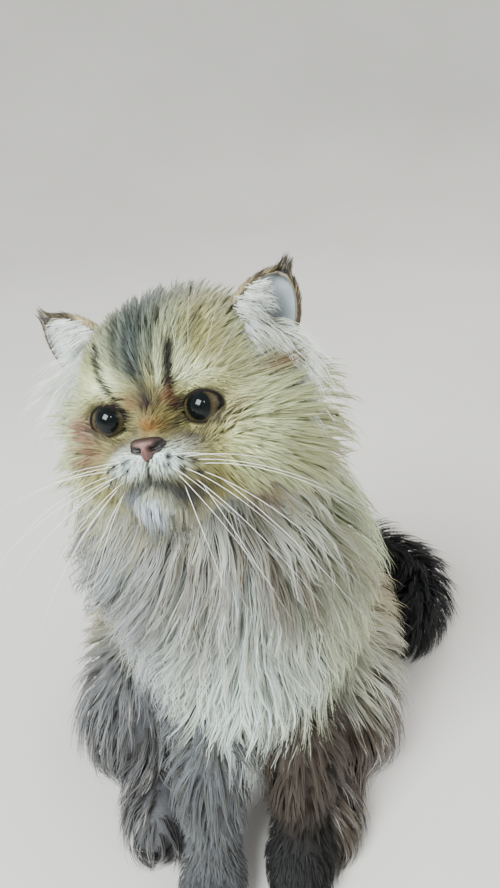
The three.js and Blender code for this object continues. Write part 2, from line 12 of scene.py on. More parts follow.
import bmesh
import bpy
import numpy as np
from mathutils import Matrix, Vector

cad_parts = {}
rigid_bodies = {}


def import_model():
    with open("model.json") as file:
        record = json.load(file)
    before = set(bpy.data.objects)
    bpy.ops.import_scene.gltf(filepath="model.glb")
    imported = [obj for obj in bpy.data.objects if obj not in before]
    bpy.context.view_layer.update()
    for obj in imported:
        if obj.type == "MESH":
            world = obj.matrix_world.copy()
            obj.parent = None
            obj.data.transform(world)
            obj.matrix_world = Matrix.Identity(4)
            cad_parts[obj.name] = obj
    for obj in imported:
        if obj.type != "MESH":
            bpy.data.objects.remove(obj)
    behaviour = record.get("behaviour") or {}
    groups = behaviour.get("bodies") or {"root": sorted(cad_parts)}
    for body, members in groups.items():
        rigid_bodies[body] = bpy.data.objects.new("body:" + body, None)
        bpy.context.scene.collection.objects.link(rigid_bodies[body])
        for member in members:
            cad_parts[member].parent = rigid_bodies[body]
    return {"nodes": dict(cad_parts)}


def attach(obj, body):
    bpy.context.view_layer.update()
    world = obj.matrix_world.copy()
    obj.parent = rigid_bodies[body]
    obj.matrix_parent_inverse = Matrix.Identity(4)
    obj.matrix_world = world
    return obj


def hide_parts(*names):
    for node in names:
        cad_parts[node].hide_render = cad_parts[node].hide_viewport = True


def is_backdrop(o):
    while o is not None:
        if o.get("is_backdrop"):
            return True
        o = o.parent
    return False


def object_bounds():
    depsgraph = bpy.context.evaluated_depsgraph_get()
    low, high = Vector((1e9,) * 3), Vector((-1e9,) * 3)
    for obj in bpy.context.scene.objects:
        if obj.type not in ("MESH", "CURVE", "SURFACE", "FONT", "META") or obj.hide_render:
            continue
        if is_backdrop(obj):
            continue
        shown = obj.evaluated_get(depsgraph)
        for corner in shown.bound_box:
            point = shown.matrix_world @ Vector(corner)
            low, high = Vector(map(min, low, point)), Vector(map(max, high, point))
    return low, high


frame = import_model()
cad_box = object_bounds()
METRES = 0.001  # in one millimetre
print("CAD nodes:", len(frame["nodes"]))

# %% [markdown]
# ## The head's own frame
#
# The cat turns its head to its right, tips it and looks up. The face is far easier to describe in a
# frame that turns with it: x runs to the cat's left, the face looks along -y, and z is up.

# %% The head's frame
HEAD_MIDDLE = np.array([-28.0, -145.0, 332.0])
HEAD_YAW, HEAD_PITCH, HEAD_ROLL = (math.radians(a) for a in (-16, -25, -16))


def turned(axis, angle):
    """The matrix of a turn about one axis."""
    c, s = math.cos(angle), math.sin(angle)
    i, j = [(1, 2), (2, 0), (0, 1)][axis]
    m = np.eye(3)
    m[i, i] = m[j, j] = c
    m[i, j], m[j, i] = -s, s
    return m


HEAD_TURN = turned(2, HEAD_YAW) @ turned(0, HEAD_PITCH) @ turned(1, HEAD_ROLL)


def to_head(points):
    """From the cat's frame to the head's."""
    return (points - HEAD_MIDDLE) @ HEAD_TURN


def on_head(points):
    """From the head's frame to the cat's."""
    return np.asarray(points, float) @ HEAD_TURN.T + HEAD_MIDDLE


def along_head(directions):
    """Directions of the head's frame, in the cat's."""
    return np.asarray(directions, float) @ HEAD_TURN.T


def unit(v):
    """Vectors of length one."""
    return v / np.maximum(np.linalg.norm(v, axis=-1, keepdims=True), 1e-9)


print("the face looks along", np.round(along_head([0, -1, 0]), 2))

# %% [markdown]
# ## Flesh as a field
#
# A cat under its coat is a set of soft masses that run into each other. Each mass is a ball or a
# tapered limb with the depth of the coat over it. A soft blend of their distances gives one smooth
# body, and one formula answers three questions at any point: how far is the flesh, how deep is the
# coat, and which way is out.

# %% Balls, limbs and their blend
def ball(middle, radii, coat):
    return {"middle": np.array(middle, float), "radii": np.array(radii, float), "coat": coat}


def limb(start, end, radii, coat):
    return {"start": np.array(start, float), "end": np.array(end, float), "radii": radii, "coat": coat}


def both(x, y, z):
    """The same place on the cat's two sides."""
    return [(x, y, z), (-x, y, z)]


def reach(shape, points):
    """The distance to one mass, and the way out of it."""
    if "middle" in shape:
        offset = (points - shape["middle"]) / shape["radii"]
        slope = offset / shape["radii"]
        steepness = np.maximum(np.linalg.norm(slope, axis=1), 1e-6)
        length = np.linalg.norm(offset, axis=1)
        return length * (length - 1) / steepness, slope / steepness[:, None]
    axis = shape["end"] - shape["start"]
    share = np.clip((points - shape["start"]) @ axis / (axis @ axis), 0, 1)
    offset = points - (shape["start"] + share[:, None] * axis)
    length = np.maximum(np.linalg.norm(offset, axis=1), 1e-6)
    first, last = shape["radii"]
    return length - (first + (last - first) * share), offset / length[:, None]


def blended(distances, coats, normals, softness):
    """One distance, coat and way out from those of many masses. Softness is the width of the blend."""
    nearest = distances.min(axis=0)
    weights = np.exp((nearest - distances) / softness)
    total = weights.sum(axis=0)
    weights /= total
    normal = np.einsum("sn,snk->nk", weights, normals)
    return nearest - softness * np.log(total), (weights * coats).sum(axis=0), normal


def flesh(shapes, softness, dents=(), in_head=False):
    """A field over some masses. A dent pushes the flesh in round its middle."""
    def field(points):
        local = to_head(points) if in_head else points
        found = [reach(shape, local) for shape in shapes]
        coats = np.array([shape["coat"] for shape in shapes], float)[:, None]
        distance, coat, normal = blended(np.stack([f[0] for f in found]), coats,
                                         np.stack([f[1] for f in found]), softness)
        for middle, width, depth in dents:
            offset = local - middle
            push = depth * np.exp(-(offset ** 2).sum(axis=1) / width ** 2)
            distance = distance + push
            normal = normal - (2 * push / width ** 2)[:, None] * offset
        return distance, coat, (along_head(normal) if in_head else normal)
    field.shapes, field.in_head = shapes, in_head
    return field


# %% [markdown]
# ## The masses of this cat
#
# The numbers repeat the CAD source, so the skin lies inside the CAD's solids and the coat's tips
# reach their outline. The left and right legs stand differently, so each side has its own places.

# %% Places on the face and the legs
EYE = np.array([23, -28.5, 3.5])
EYE_RADIUS = 11
NOSE = np.array([0, -48, -9.5])
MOUTH_LINE = [(0, -15), (0, -20), (0, -25), (5, -26.5), (10, -30), (14, -35)]
PAW_SPREAD = {"left": 39, "right": -19}
PAW_REACH = {"left": -190, "right": -204}
KNEE_SPREAD = {"left": 74, "right": 84}
SIDES = {"left": 1, "right": -1}
TOES = (-12, -4.2, 4.2, 12)
HIND_TOES = (-9, -3, 3, 9)
TOE_GAPS = (-8.1, 0, 8.1)
GAP_DENTS = ((27, 6), (24, 12), (18, 17))  # how far before the paw's middle, and how high
print("toes on a paw:", len(TOES))

# %% Trunk and head
BODY_BLEND, FACE_BLEND, LEG_BLEND = 10, 3, 8
parts = {
    "torso": flesh([
        ball((0, 14, 66), (62, 58, 60), 30), ball((0, -42, 105), (60, 58, 72), 32),
        ball((0, -92, 168), (56, 54, 72), 38), ball((0, -92, 218), (54, 46, 42), 44),
        ball((0, -118, 118), (40, 32, 34), 36)], BODY_BLEND),
    "neck": flesh([
        ball((-20, -98, 262), (60, 38, 42), 44), ball((-12, -112, 222), (56, 34, 38), 44)], BODY_BLEND),
    "head": flesh([
        ball((0, 6, 10), (45, 43, 40), 11), ball((0, -14, 27), (33, 25, 22), 8),
        *[ball(m, (18, 20, 27), 28) for m in both(38, 10, -8)],
        *[ball(m, (13, 9, 6), 3) for m in both(20, -27, 17)],
        *[ball(m, (20, 22, 20), 9) for m in both(30, -12, -14)],
        ball((0, -34, 0), (8, 11, 9), 2),
        *[ball(m, (13, 13, 10), 3.5) for m in both(10, -38, -19)],
        ball((0, -24, -28), (20, 18, 12), 9), ball((0, -39, -34), (10, 9, 8), 6)], FACE_BLEND,
        [*[(np.array(m), 13, 10) for m in both(22.5, -38, 3.5)],
         *[(np.array(m), 6, 4) for m in both(12, -43, 0)]], True),
}
print("masses of trunk and head:", sum(len(field.shapes) for field in parts.values()))

# %% Legs and paws
for name, side in SIDES.items():
    parts[f"hind_leg_{name}"] = flesh([
        ball((side * 70, -28, 62), (36, 60, 56), 28),
        ball((side * KNEE_SPREAD[name], -88, 42), (30, 38, 38), 26)], BODY_BLEND)
    parts[f"hind_paw_{name}"] = flesh([
        limb((side * 70, -104, 17), (side * 62, -156, 13), (18, 14), 9),
        *[ball((side * 62 + x, -168 - 3 * (abs(x) < 5), 10), (6, 12, 9), 4) for x in HIND_TOES]], 4)
    wrist = (PAW_SPREAD[name], PAW_REACH[name] + 14, 30)
    elbow = (wrist[0], wrist[1] + 20, 84)
    parts[f"front_leg_{name}"] = flesh([
        limb((side * 32, -108, 140), elbow, (18, 14), 11), limb(elbow, wrist, (14, 13), 8)], LEG_BLEND)
    middle = (PAW_SPREAD[name], PAW_REACH[name], 13)
    between_toes = [(np.array((middle[0] + x, middle[1] - y, z)), 3.4, 2.4)
                    for x in TOE_GAPS for y, z in GAP_DENTS]
    parts[f"front_paw_{name}"] = flesh([
        ball(middle, (18, 20, 15), 6),
        *[ball((middle[0] + x, middle[1] - 11 - 4 * (abs(x) < 6), 10), (6.4, 13, 9.5), 4)
          for x in TOES]], 2.4, between_toes)
print("parts:", ", ".join(parts))

# %% [markdown]
# ## The tail
#
# A full tail lies on the floor round the cat's left side. Its flesh is thin and its hair is deep, so
# it is a chain of short tapered limbs on a smooth curve, and the coat over them swells and then
# narrows along it.

# %% The tail's curve
TAIL_KNOTS = np.array([(14, 52, 44), (74, 96, 38), (134, 98, 36),
                       (170, 64, 34), (166, 26, 29), (148, 2, 23)], float)
STEPS_A_SPAN = 60


def smooth_curve(knots, steps):
    """Evenly spaced points on a smooth curve through the knots, spaced by the square root of a span."""
    ends = np.vstack([2 * knots[0] - knots[1], knots, 2 * knots[-1] - knots[-2]])
    spans = np.sqrt(np.linalg.norm(np.diff(ends, axis=0), axis=1))
    line = []
    for i in range(len(knots) - 1):
        p0, p1, p2, p3 = ends[i:i + 4]
        d0, d1, d2 = spans[i:i + 3]
        t1 = ((p1 - p0) / d0 - (p2 - p0) / (d0 + d1) + (p2 - p1) / d1) * d1
        t2 = ((p2 - p1) / d1 - (p3 - p1) / (d1 + d2) + (p3 - p2) / d2) * d1
        t = np.linspace(0, 1, STEPS_A_SPAN, endpoint=i == len(knots) - 2)[:, None]
        bend = 3 * (p2 - p1) - 2 * t1 - t2
        line.append(p1 + t1 * t + bend * t ** 2 + (2 * (p1 - p2) + t1 + t2) * t ** 3)
    line = np.vstack(line)
    along = np.concatenate([[0], np.cumsum(np.linalg.norm(np.diff(line, axis=0), axis=1))])
    wanted = np.linspace(0, along[-1], steps)
    return np.stack([np.interp(wanted, along, line[:, k]) for k in range(3)], axis=1)


TAIL_STEPS = 15
TAIL_COAT = 26
tail_line = smooth_curve(TAIL_KNOTS, TAIL_STEPS + 1)
tail_masses = []
for i in range(TAIL_STEPS):
    share = (i + 1) / TAIL_STEPS
    coat = TAIL_COAT * math.sin(math.pi * (0.2 + 0.62 * share)) ** 0.6
    tail_masses.append(limb(tail_line[i], tail_line[i + 1],
                            (12 - 5 * i / TAIL_STEPS, 12 - 5 * share), coat))
parts["tail"] = flesh(tail_masses, 5)
print("masses of the tail:", len(tail_masses))

# %% The whole body
PARTS_BLEND, SHARES_BLEND = 4, 9


def body(points, with_shares=False):
    """The whole body's field. The shares say how far each part owns a point."""
    found = [field(points) for field in parts.values()]
    distances = np.stack([f[0] for f in found])
    distance, coat, normal = blended(distances, np.stack([f[1] for f in found]),
                                     np.stack([f[2] for f in found]), PARTS_BLEND)
    if not with_shares:
        return distance, coat, unit(normal)
    shares = np.exp((distances.min(axis=0) - distances) / SHARES_BLEND)
    return distance, coat, unit(normal), shares / shares.sum(axis=0)


print("masses:", sum(len(field.shapes) for field in parts.values()))

# %% [markdown]
# ## Meshes from arrays
#
# A coat has over a million faces, so meshes are filled from arrays in one go rather than face by
# face. All of them use triangles, smooth shading and optional colours and extra values per point.

# %% Making a mesh
def put_in_scene(name, data):
    """An object at the origin that shows a mesh, a lamp or a camera."""
    obj = bpy.data.objects.new(name, data)
    bpy.context.scene.collection.objects.link(obj)
    return obj


def keep_values(mesh, key, values):
    """Keeps a colour or a number for each point of a mesh."""
    values = np.asarray(values, np.float32)
    if values.ndim == 1:
        mesh.attributes.new(key, "FLOAT", "POINT").data.foreach_set("value", values)
        return
    colours = np.ones((len(values), 4), np.float32)
    colours[:, :3] = values
    mesh.attributes.new(key, "FLOAT_COLOR", "POINT").data.foreach_set("color", colours.ravel())


def piece_from(name, points_mm, triangles, attributes=None, uv=None):
    """An object at the origin from points in millimetres and triangles, with values kept per point."""
    mesh = bpy.data.meshes.new(name)
    mesh.vertices.add(len(points_mm))
    mesh.vertices.foreach_set("co", (np.asarray(points_mm) * METRES).astype(np.float32).ravel())
    mesh.loops.add(triangles.size)
    mesh.loops.foreach_set("vertex_index", triangles.astype(np.int32).ravel())
    mesh.polygons.add(len(triangles))
    mesh.polygons.foreach_set("loop_start", np.arange(0, triangles.size, 3, dtype=np.int32))
    mesh.polygons.foreach_set("use_smooth", np.ones(len(triangles), bool))
    for key, values in (attributes or {}).items():
        keep_values(mesh, key, values)
    if uv is not None:
        mesh.uv_layers.new(name="OFBake").uv.foreach_set("vector", uv.astype(np.float32).ravel())
    mesh.update(calc_edges=True)
    return put_in_scene(name, mesh)


# %% Points, steps and grids
def points_of(mesh):
    """A mesh's points in millimetres."""
    co = np.empty(len(mesh.vertices) * 3, np.float32)
    mesh.vertices.foreach_get("co", co)
    return co.reshape(-1, 3).astype(float) * 1000


def set_points(mesh, points_mm):
    mesh.vertices.foreach_set("co", (points_mm * METRES).astype(np.float32).ravel())
    mesh.update()


def smooth_step(x, low, high):
    """From 0 at low to 1 at high, with soft ends."""
    t = np.clip((x - low) / (high - low), 0, 1)
    return t * t * (3 - 2 * t)


def halved(a, b, c, d):
    """The quads a b c d as triangles."""
    return np.vstack([np.stack([a, b, c], -1).reshape(-1, 3), np.stack([a, c, d], -1).reshape(-1, 3)])


def globe_faces(rings, columns):
    """Triangles of a closed grid of rings, whose two poles come after its rings."""
    number = np.arange(rings * columns).reshape(rings, columns)
    following = np.roll(number, -1, axis=1)
    first, last = number.size, number.size + 1
    return np.vstack([halved(number[:-1], following[:-1], following[1:], number[1:]),
                      np.stack([np.full(columns, first), following[0], number[0]], -1),
                      np.stack([np.full(columns, last), number[-1], following[-1]], -1)])


print("half of a step:", smooth_step(0.5, 0, 1))


# %% [markdown]
# ## The skin
#
# The skin is one closed surface under the whole coat. A voxel remesh melts rough balls into one
# piece, which settles only how things connect. Then every point slides along the field's normal to
# the level of the skin, so the shape comes from the formula and not from the voxels.

# %% A rough body melted into one piece
SKIN_SHARE = 0.15  # of the coat's depth, between the flesh and the skin
VOXEL = 0.0027
SKIN_LOWEST = 0.4  # above the floor
LIMB_BALLS = 7


def unit_ball():
    """Points and triangles of a ball of radius one."""
    bm = bmesh.new()
    bmesh.ops.create_icosphere(bm, subdivisions=3, radius=1)
    points = np.array([v.co for v in bm.verts])
    faces = np.array([[v.index for v in f.verts] for f in bm.faces])
    bm.free()
    return points, faces


BALL_POINTS, BALL_FACES = unit_ball()


def rough_balls():
    """Each mass as one ball, or as a row of balls along a limb."""
    for field in parts.values():
        for shape in field.shapes:
            grow = SKIN_SHARE * shape["coat"] + 1.2
            if "middle" in shape:
                points = BALL_POINTS * (shape["radii"] + grow) + shape["middle"]
                yield on_head(points) if field.in_head else points
            else:
                for t in np.linspace(0, 1, LIMB_BALLS):
                    radius = shape["radii"][0] * (1 - t) + shape["radii"][1] * t + grow
                    yield BALL_POINTS * radius + shape["start"] * (1 - t) + shape["end"] * t


rough = list(rough_balls())
rough_points = np.vstack(rough)
rough_points[:, 2] = np.maximum(rough_points[:, 2], SKIN_LOWEST)
rough_faces = np.vstack([BALL_FACES + i * len(BALL_POINTS) for i in range(len(rough))])
rough_body = piece_from("rough_body", rough_points, rough_faces)
melt = rough_body.modifiers.new("Melt", "REMESH")
melt.mode = "VOXEL"
melt.voxel_size = VOXEL
melted = rough_body.evaluated_get(bpy.context.evaluated_depsgraph_get())
skin_mesh = bpy.data.meshes.new_from_object(melted)
bpy.data.objects.remove(rough_body)
print("melted body:", len(skin_mesh.polygons), "faces")


# %% Finer faces where the face's folds are
def divide(mesh, wanted):
    """Divides once the faces whose points are all wanted."""
    bm = bmesh.new()
    bm.from_mesh(mesh)
    chosen = wanted(points_of(mesh))
    edges = [e for e in bm.edges if chosen[e.verts[0].index] and chosen[e.verts[1].index]]
    bmesh.ops.subdivide_edges(bm, edges=edges, cuts=1, use_grid_fill=True)
    bm.to_mesh(mesh)
    bm.free()


def settle(mesh, rounds):
    """Slides the points to the skin's level, relaxed a little between the rounds."""
    points = points_of(mesh)
    edges = np.empty(len(mesh.edges) * 2, np.int32)
    mesh.edges.foreach_get("vertices", edges)
    a, b = edges.reshape(-1, 2).T
    count = np.bincount(edges, minlength=len(points))[:, None]
    for i in range(rounds):
        if i:
            total = np.zeros_like(points)
            np.add.at(total, a, points[b])
            np.add.at(total, b, points[a])
            points = points * 0.45 + 0.55 * total / np.maximum(count, 1)
        for _ in range(2):
            distance, coat, normal = body(points)
            points += normal * np.clip(SKIN_SHARE * coat - distance, -4, 4)[:, None]
    points[:, 2] = np.maximum(points[:, 2], SKIN_LOWEST)
    set_points(mesh, points)


def in_face(size):
    """A test for points within an egg of this size round the face."""
    def wanted(points):
        local = to_head(points)
        near = np.linalg.norm(local / size - (0, -0.9, -0.1), axis=1) < 1
        return near & (local[:, 1] < -12)
    return wanted


settle(skin_mesh, 3)
for size in ((62, 52, 62), (42, 44, 42)):
    divide(skin_mesh, in_face(np.array(size)))
    settle(skin_mesh, 2)
print("skin:", len(skin_mesh.polygons), "faces")

# %% [markdown]
# ## Eyes, lids and mouth
#
# The skin dips behind each eyeball and swells round it where the lids wrap the ball. The lids' dark
# margin needs a cleaner edge than a remeshed skin can give, so each pair of lids is a ring of its
# own, drawn round the opening from the eye's centre: the opening is a round almond whose inner
# corner reaches down towards the nose, and the upper lid is flatter, which gives the stern look.

# %% The opening between the lids
OUTWARD = {1: math.radians(54), -1: math.radians(47)}  # the left eye opens wider to its outer side
UPWARD, DOWNWARD = math.radians(34), math.radians(39)


def opening(turn, side):
    """The angle from the look's axis to the lids' edge. Turn 0 is the outer corner, a quarter is up."""
    high = np.where(np.sin(turn) > 0, UPWARD, DOWNWARD)
    plain = 1 / np.sqrt((np.cos(turn) / OUTWARD[side]) ** 2 + (np.sin(turn) / high) ** 2)
    corner = np.angle(np.exp(1j * (turn - math.radians(203))))
    brow = np.angle(np.exp(1j * (turn - math.radians(128))))
    return plain + 0.26 * np.exp(-(corner / 0.3) ** 2) - 0.05 * np.exp(-(brow / 0.5) ** 2)


def eye_angles(local, side):
    """For points in the head's frame: the offset, its length, the angle from the look's axis, the turn."""
    offset = (local - EYE * (side, 1, 1)) * (side, 1, 1)
    length = np.maximum(np.linalg.norm(offset, axis=1), 1e-6)
    angle = np.arccos(np.clip(-offset[:, 1] / length, -1, 1))
    return offset, length, angle, np.arctan2(offset[:, 2], offset[:, 0])


# %% The skin round the eyes
SOCKET_DEPTH, LID_HEIGHT, SLOPE_HEIGHT = 2.2, 0.9, 0.7
EYE_REACH = 30


def round_eyes(local):
    """Dips the skin behind each eyeball and lifts it round the lids."""
    for side in SIDES.values():
        offset, length, angle, turn = eye_angles(local, side)
        edge = opening(turn, side)
        near = length < EYE_REACH
        hidden = (1 - smooth_step(angle, edge + 0.02, edge + 0.22)) * (1 - smooth_step(length, 15.5, 19))
        shell = (EYE_RADIUS + LID_HEIGHT) * (1 - smooth_step(angle, 1.2, 1.7))
        wanted = np.maximum(length, shell) * (1 - hidden) + (EYE_RADIUS - SOCKET_DEPTH) * hidden
        offset = offset * (wanted / length)[:, None]
        # the skin leaves the lids in a slope of its own, which fades into the face
        aside = np.hypot(offset[:, 0], offset[:, 2])
        leave = edge + 0.12
        lid_aside = (EYE_RADIUS + SLOPE_HEIGHT) * np.sin(leave)
        lid_front = -(EYE_RADIUS + SLOPE_HEIGHT) * np.cos(leave)
        slope = 0.5 + 0.5 * np.clip(np.cos(turn), 0, 1)
        skirt = np.where(aside > lid_aside, lid_front + (aside - lid_aside) * slope, 99)
        lifted = np.minimum(offset[:, 1], skirt) - offset[:, 1]
        offset[:, 1] += lifted * (1 - hidden) * (1 - smooth_step(aside, 13, 23))
        local = np.where(near[:, None], offset * (side, 1, 1) + EYE * (side, 1, 1), local)
    return local


# %% The mouth's line
LIP_FOLD, LIP_SWELL = 2.4, 0.9


def off_line(across, up, line):
    """The distance in the face's plane to a line of corners."""
    best = np.full(len(across), 1e9)
    for (x0, z0), (x1, z1) in zip(line, line[1:]):
        dx, dz = x1 - x0, z1 - z0
        t = np.clip(((across - x0) * dx + (up - z0) * dz) / (dx * dx + dz * dz), 0, 1)
        best = np.minimum(best, np.hypot(across - x0 - t * dx, up - z0 - t * dz))
    return best


def off_mouth(local):
    """The distance to the mouth's line, on the front of the face."""
    away = off_line(np.abs(local[:, 0]), local[:, 2], MOUTH_LINE)
    return np.where(local[:, 1] < -18, away, 99.0)


def press_mouth(local):
    """Folds the skin in along the mouth's line, between two swollen lips."""
    away = off_mouth(local)
    local[:, 1] += LIP_FOLD * np.exp(-(away / 1.2) ** 2) - LIP_SWELL * np.exp(-((away - 3.6) / 1.7) ** 2)
    return local


skin_points = points_of(skin_mesh)
skin_local = to_head(skin_points)
front = skin_local[:, 1] < -5
skin_local[front] = press_mouth(round_eyes(skin_local[front]))
skin_points[front] = on_head(skin_local[front])
set_points(skin_mesh, skin_points)
skin = put_in_scene("skin", skin_mesh)
skin_mesh.shade_smooth()
print("points of the face:", int(front.sum()))

# %% [markdown]
# ## An unwrap of the skin
#
# The model's colours can be carried in a texture, so the skin is unwrapped once, and every tuft
# keeps a small patch at its own root's place on that unwrap.

# %% Unwrapping
bpy.ops.object.select_all(action="DESELECT")
skin.select_set(True)
bpy.context.view_layer.objects.active = skin
skin_mesh.uv_layers.new(name="OFBake")
bpy.ops.object.mode_set(mode="EDIT")
bpy.ops.mesh.select_all(action="SELECT")
bpy.ops.uv.smart_project(angle_limit=math.radians(66), island_margin=0.002)
bpy.ops.object.mode_set(mode="OBJECT")
skin_mesh = skin.data
skin_mesh.calc_loop_triangles()
count = len(skin_mesh.loop_triangles)
corners = np.empty(count * 3, np.int32)
skin_mesh.loop_triangles.foreach_get("vertices", corners)
loops = np.empty(count * 3, np.int32)
skin_mesh.loop_triangles.foreach_get("loops", loops)
flat = np.empty(len(skin_mesh.loops) * 2, np.float32)
skin_mesh.uv_layers["OFBake"].uv.foreach_get("vector", flat)
skin_corners = corners.reshape(-1, 3)
skin_uv = flat.reshape(-1, 2)[loops.reshape(-1, 3)]
skin_points = points_of(skin_mesh)
print("skin:", count, "triangles")


# %% Drawing roots on the skin
def draw_roots(corner_points, corner_uv, count, random):
    """Points spread evenly at random over triangles, with their places on the unwrap."""
    a, b, c = corner_points[:, 0], corner_points[:, 1], corner_points[:, 2]
    area = np.linalg.norm(np.cross(b - a, c - a), axis=1) / 2
    upto = np.cumsum(area)
    # one draw in each equal share of the area, so that the roots don't bunch
    drawn = (np.arange(count) + random.random(count)) / count * upto[-1]
    at = np.minimum(np.searchsorted(upto, drawn), len(area) - 1)
    u, v = random.random((2, count))
    over = u + v > 1
    u, v = np.where(over, 1 - u, u)[:, None], np.where(over, 1 - v, v)[:, None]
    w = 1 - u - v
    return (w * a[at] + u * b[at] + v * c[at],
            w * corner_uv[at, 0] + u * corner_uv[at, 1] + v * corner_uv[at, 2], upto[-1])


# %% [markdown]
# ## The way the coat lies
#
# Hair grows away from the nose over the whole head, down the neck and chest, back and down the
# trunk, down the legs, forward over the paws and out along the tail. Where two parts meet, their
# ways are mixed by how far each part owns the point, so there is no seam. Slow waves in the
# direction make neighbouring locks part and meet, as a brushed long coat does.

# %% Lie of the coat, part by part
def ways(x, y, z):
    """Ways at many points from three values, each of which is one number or one a point."""
    return np.stack(np.broadcast_arrays(*(np.asarray(v, float) for v in (x, y, z))), axis=1)


def lie_of_head(points):
    away = to_head(points) - NOSE
    falling = -0.5 * smooth_step(-away[:, 2], 10, 40)
    return along_head(unit(away)) + (0, 0, -0.3) + ways(0, 0, falling)


def lie_of_neck(points):
    x, y, _ = points.T
    return ways((x + 10) * 0.010, (y + 110) * 0.005, -1)


def lie_of_torso(points):
    x, y, _ = points.T
    return ways(x * 0.009, np.clip((y + 100) * 0.009, -0.05, 0.8), -1)


def lie_of_haunch(points):
    x, y, _ = points.T
    return ways(x * 0.003, 0.25 - 1.0 * smooth_step(-y, 60, 105), -1)


def lie_of_hind_paw(points):
    x = points[:, 0]
    aside = np.sign(x) * np.clip((np.abs(x) - 60) / 14, -1, 1)
    return ways(0.85 * aside, -1, -0.4)


def lie_of_tail(points):
    nearest = np.argmin(((points[:, None] - tail_line[None, :-1]) ** 2).sum(axis=2), axis=1)
    return unit(np.diff(tail_line, axis=0))[nearest] + (0, 0, -0.2)


LIES = {"torso": lie_of_torso, "neck": lie_of_neck, "head": lie_of_head, "tail": lie_of_tail}
for name in SIDES:
    LIES[f"hind_leg_{name}"] = lie_of_haunch
    LIES[f"hind_paw_{name}"] = lie_of_hind_paw
    LIES[f"front_leg_{name}"] = lambda p: np.broadcast_to((0.0, -0.15, -1), p.shape)
    LIES[f"front_paw_{name}"] = lambda p: np.broadcast_to((0.0, -1, -0.45), p.shape)
print("parts with a lie of their own:", len(LIES))


# %% The lie anywhere, and slow waves
def slow_wave(points, size, phase):
    """A smooth value from -1 to 1 that changes over about the given size."""
    p = points / size
    return (np.sin(p[:, 0] * 2.1 + 1.7 * np.sin(p[:, 2] * 1.3 + phase) + phase)
            + np.sin(p[:, 2] * 1.9 + 1.3 * np.sin(p[:, 1] * 1.7 + 2 * phase))
            + np.sin(p[:, 1] * 2.3 + 1.1 * np.sin(p[:, 0] * 1.1 + 3 * phase))) / 3


def lie_at(points, shares, normal):
    """The parts' ways mixed by their shares, and laid flat on the skin."""
    lie = sum(share[:, None] * unit(LIES[name](points)) for name, share in zip(parts, shares))
    return unit(lie - (lie * normal).sum(axis=1, keepdims=True) * normal)


# %% [markdown]
# ## Growing a coat
#
# A guide is the middle line of one lock. It starts on the skin and steps along the lie, rising
# through the coat to the level of its tips. The strands of a lock start spread round its root and
# draw together towards its tip. Each strand is a thin three-sided spike, closed at both ends.

# %% Guides
GUIDE_LOWEST = 1.2  # above the floor


def grow(roots, lengths, steps, top, turn):
    """Lines from the roots along the lie, with the way out at each point."""
    points, line, normals = roots.copy(), [], []
    start, coat, normal, shares = body(points, True)
    raised = np.clip(start - SKIN_SHARE * coat, -2, 9)  # where the lids or lips lift the skin
    for i in range(steps + 1):
        if i:
            distance, coat, normal, shares = body(points, True)
            level = SKIN_SHARE * coat + (top - SKIN_SHARE) * coat * (i / steps) ** 0.6
            level = level + raised * (1 - 0.5 * i / steps)
            points = points + normal * np.clip(level - distance, -6, 6)[:, None]
        points[:, 2] = np.maximum(points[:, 2], GUIDE_LOWEST)
        line.append(points.copy())
        normals.append(normal)
        along = lie_at(points, shares, normal)
        swing = (turn * (1 - 0.7 * i / steps))[:, None]
        along = along * np.cos(swing) + np.cross(normal, along) * np.sin(swing)
        points = points + along * (lengths / steps)[:, None]
    return np.stack(line, axis=1), np.stack(normals, axis=1)


def at_share(values, share):
    """Values of guides (guides, steps, 3) at a share of their length, for each of (guides, points)."""
    last = values.shape[1] - 1
    place = np.clip(share, 0, 1) * last
    low = np.minimum(place.astype(int), last - 1)
    mix = (place - low)[..., None]
    row = np.arange(len(values))[:, None]
    return values[row, low] * (1 - mix) + values[row, low + 1] * mix


# %% Strands
LOCK_ROUND = 0.5  # how far the shading leans at a lock's side
STRAND_LOWEST = 0.6  # above the floor
WAVE_LENGTH = 60  # the length of hair whose wave is as wide as its kind says
FULL_TURN = 2 * math.pi


